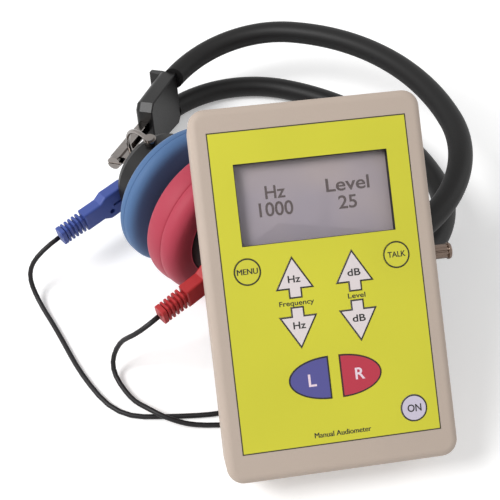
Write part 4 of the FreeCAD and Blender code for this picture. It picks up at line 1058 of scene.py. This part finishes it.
@dataclass
class Lead:
    """Lead of one earphone: from its plug over the table to a coil behind the unit and to its socket.

    Its length, in metres, is not used.
    """

    side: Side
    corners: list[Triple]
    coil: Pair
    first_angle: float
    turns: float
    way: int
    exits: list[Triple]
    socket: Triple
    length: float
    give: Triple
    radius: float = 1.25
    outer: float = 21.0
    inner: float = 9.3
    top: float = 19.5
    levels: tuple[float, ...] = (1.3, 3.85, 6.4, 9.5)
    crossing: float = 0.9
    climb: float = 0.4
    early: float = 0.15
    steps: int = 16
    columns: int = 12

    def winding(self) -> np.ndarray:
        """Points of the coil, in millimetres.

        The angle grows evenly. The radius goes in, out and in again at an even rate, one sweep to a
        layer, and then out over the top by 3 t^2 - 2 t^3, as t goes from 0 to 1. The level steps up by
        the same curve while the radius turns round.
        """
        done = np.linspace(0.0, self.turns, round(self.turns * self.steps) + 1)
        sweep = (self.turns - self.crossing) / 3
        layer = np.clip(done / sweep, 0, 3)
        radius = self.outer - (self.outer - self.inner) * (1 - np.abs(1 - layer % 2))
        last = np.clip((done - 3 * sweep) / self.crossing, 0, 1)
        over = self.inner + (self.top - self.inner) * last * last * (3 - 2 * last)
        radius = np.where(done > 3 * sweep, over, radius)
        level = np.full(len(done), self.levels[0])
        for number in range(3):
            step = np.clip((done - (number + 1) * sweep + self.early) / self.climb, 0, 1)
            level += (self.levels[number + 1] - self.levels[number]) * step * step * (3 - 2 * step)
        angle = np.radians(self.first_angle) + self.way * FULL * done
        x, y = self.coil
        return np.column_stack([x + radius * np.cos(angle), y + radius * np.sin(angle), level])

    def line(self) -> np.ndarray:
        """The lead's smooth centreline in metres, read from its spline."""
        points = np.vstack([self.corners, self.winding(), self.exits, [self.socket]]) * MM
        curve = bpy.data.curves.new(f"{self.side.tag}_route", "CURVE")
        curve.dimensions = "3D"
        curve.resolution_u = 4
        spline = curve.splines.new("NURBS")
        spline.points.add(len(points) - 1)
        spline.points.foreach_set("co", np.column_stack([points, np.ones(len(points))]).ravel())
        spline.order_u = 3
        spline.use_endpoint_u = True
        spline.resolution_u = 4
        return worked_out(curve.name, curve)[0]

    def build(self) -> None:
        tag = self.side.tag
        line = self.line()
        ahead = np.gradient(line, axis=0)
        ahead /= np.linalg.norm(ahead, axis=1)[:, None]
        across = np.cross([0.0, 0.0, 1.0], ahead)
        across /= np.linalg.norm(across, axis=1)[:, None]
        up = np.cross(ahead, across)
        angle = (np.arange(self.columns) * FULL / self.columns)[None, :, None]
        around = np.cos(angle) * across[:, None] + np.sin(angle) * up[:, None]
        points = (line[:, None] + self.radius * MM * around).reshape(-1, 3)
        cord = show(f"{tag}_cord", points, tube_faces(points, self.columns), JACKET)
        length = float(np.linalg.norm(np.diff(line, axis=0), axis=1).sum())
        LOG.info("%s cord is %.4f m long", tag, length)
        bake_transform(cord)
        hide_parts(f"{tag}_lead", f"{tag}_coil")


LEADS = (
    Lead(Side.LEFT,
         [(-106.85, -11.48, 27.03), (-116.4, -20.0, 25.4), (-124.5, -24.3, 12.5), (-119.5, -34.3, 1.9),
          (-106.5, -53.3, 1.3), (-90.5, -80.3, 1.3), (-70.5, -102.3, 1.3), (-44.5, -102.3, 1.3),
          (-18.5, -100.8, 1.3), (-1.4, -93.5, 1.3)],
         coil=(3.5, -69.3), first_angle=-78.0, turns=14.44, way=1,
         exits=[(-6.25, -54.35, 9.5), (-14.29, -62.71, 10.23)], socket=(-13.13, -70.6, 20.5),
         length=1.585, give=(0.0, -22.8, -25.1)),
    Lead(Side.RIGHT,
         [(-49.46, -70.08, 40.37), (-58.9, -77.3, 36.5), (-70.9, -71.5, 20.5), (-76.6, -76.5, 3.0),
          (-65.0, -93.3, 1.9), (-55.0, -100.1, 5.0), (-47.0, -104.6, 5.0), (-33.5, -107.3, 1.4),
          (-8.4, -106.0, 1.3), (14.6, -103.0, 1.3), (29.5, -90.0, 1.3), (29.5, -68.0, 1.3),
          (36.6, -50.0, 1.3), (47.6, -46.0, 1.3)],
         coil=(55.5, -69.3), first_angle=84.0, turns=13.817, way=-1,
         exits=[(48.2, -51.22, 9.5), (60.9, -51.65, 10.23)], socket=(62.06, -59.54, 20.5),
         length=1.552, give=(0.0, 0.0, -18.0)),
)


# ---------- studio
@dataclass(frozen=True)
class Lamp:
    """Square soft lamp: sizes are in metres, in the row frame."""

    name: str
    spot: Triple
    size: float
    power: float
    aim: Triple = (0.0, -0.02, 0.04)

    def make(self) -> None:
        """Aims the lamp at the middle of the object."""
        data = bpy.data.lights.new(self.name, "AREA")
        data.shape = "SQUARE"
        data.size = self.size
        data.energy = self.power
        way = Vector(np.array(self.aim) - np.array(self.spot))
        turned = way.to_track_quat("-Z", "Y").to_matrix().to_4x4()
        stand(self.name, data).matrix_world = Matrix.Translation(self.spot) @ turned


@dataclass
class Studio:
    """Camera, pale floor with its half width and tone, and soft light; metres and degrees."""

    spot: Triple = (-0.0065, -0.29088, 0.37377)
    tilt: float = 38.0
    lens: float = 60.92
    sensor: float = 36.0
    ambient: float = 0.4
    lift: float = 0.3
    half: float = 3.0
    tone: float = 0.93
    lamps: tuple[Lamp, ...] = (Lamp("key_lamp", (-0.85, -0.3, 1.05), 0.55, 13.5),
                               Lamp("fill_lamp", (1.1, 0.1, 0.75), 0.9, 2.5))

    def camera(self) -> None:
        """Sets the camera over the front of the object."""
        data = bpy.data.cameras.new("camera")
        data.lens = self.lens
        data.sensor_width = self.sensor
        data.clip_start = 0.01
        camera = stand("camera", data)
        camera.location = self.spot
        camera.rotation_euler = (math.radians(self.tilt), 0.0, 0.0)
        bpy.context.scene.camera = camera

    def floor(self) -> None:
        """Wide pale plane at the level that the object stands on; a little glow lifts it to white."""
        material = bpy.data.materials.new("floor_white")
        paint = Paint(material)
        shine = paint.node("ShaderNodeBsdfDiffuse", inputs={"Color": (self.tone,) * 3 + (1.0,)})
        share = paint.seen() * self.lift
        glow = paint.node("ShaderNodeEmission", inputs={"Color": WHITE, "Strength": share})
        paint.end(paint.node("ShaderNodeAddShader", inputs={0: shine, 1: glow}))
        corners = np.array([(-1, -1, 0), (1, -1, 0), (1, 1, 0), (-1, 1, 0)]) * self.half
        mesh = bpy.data.meshes.new("floor")
        mesh.from_pydata(corners.tolist(), [], [(0, 1, 2, 3)])
        mesh.materials.append(material)
        stand("floor", mesh)

    def sky(self) -> None:
        """Soft grey light from all round, white where the eye sees it."""
        world = bpy.data.worlds.new("sky")
        bpy.context.scene.world = world
        paint = Paint(world, "World")
        soft = paint.node("ShaderNodeBackground", inputs={"Color": WHITE, "Strength": self.ambient})
        white = paint.node("ShaderNodeBackground", inputs={"Color": WHITE})
        paint.end(paint.node("ShaderNodeMixShader", inputs={0: paint.seen(), 1: soft, 2: white}))

    def build(self) -> None:
        """Sets up camera, floor and light."""
        self.camera()
        self.floor()
        self.sky()
        for lamp in self.lamps:
            lamp.make()
        bpy.context.scene.view_settings.view_transform = "Standard"


def main() -> None:
    """Builds the scene in order."""
    logging.basicConfig(level=logging.INFO, format="%(name)s: %(message)s")
    Studio().build()
    for lead in LEADS:
        lead.build()
    Handset().build()
    Keypad().build()
    Display().build()
    Headset().build()
    for side in Side:
        Earphone(side).build()


if __name__ == "__main__":
    main()
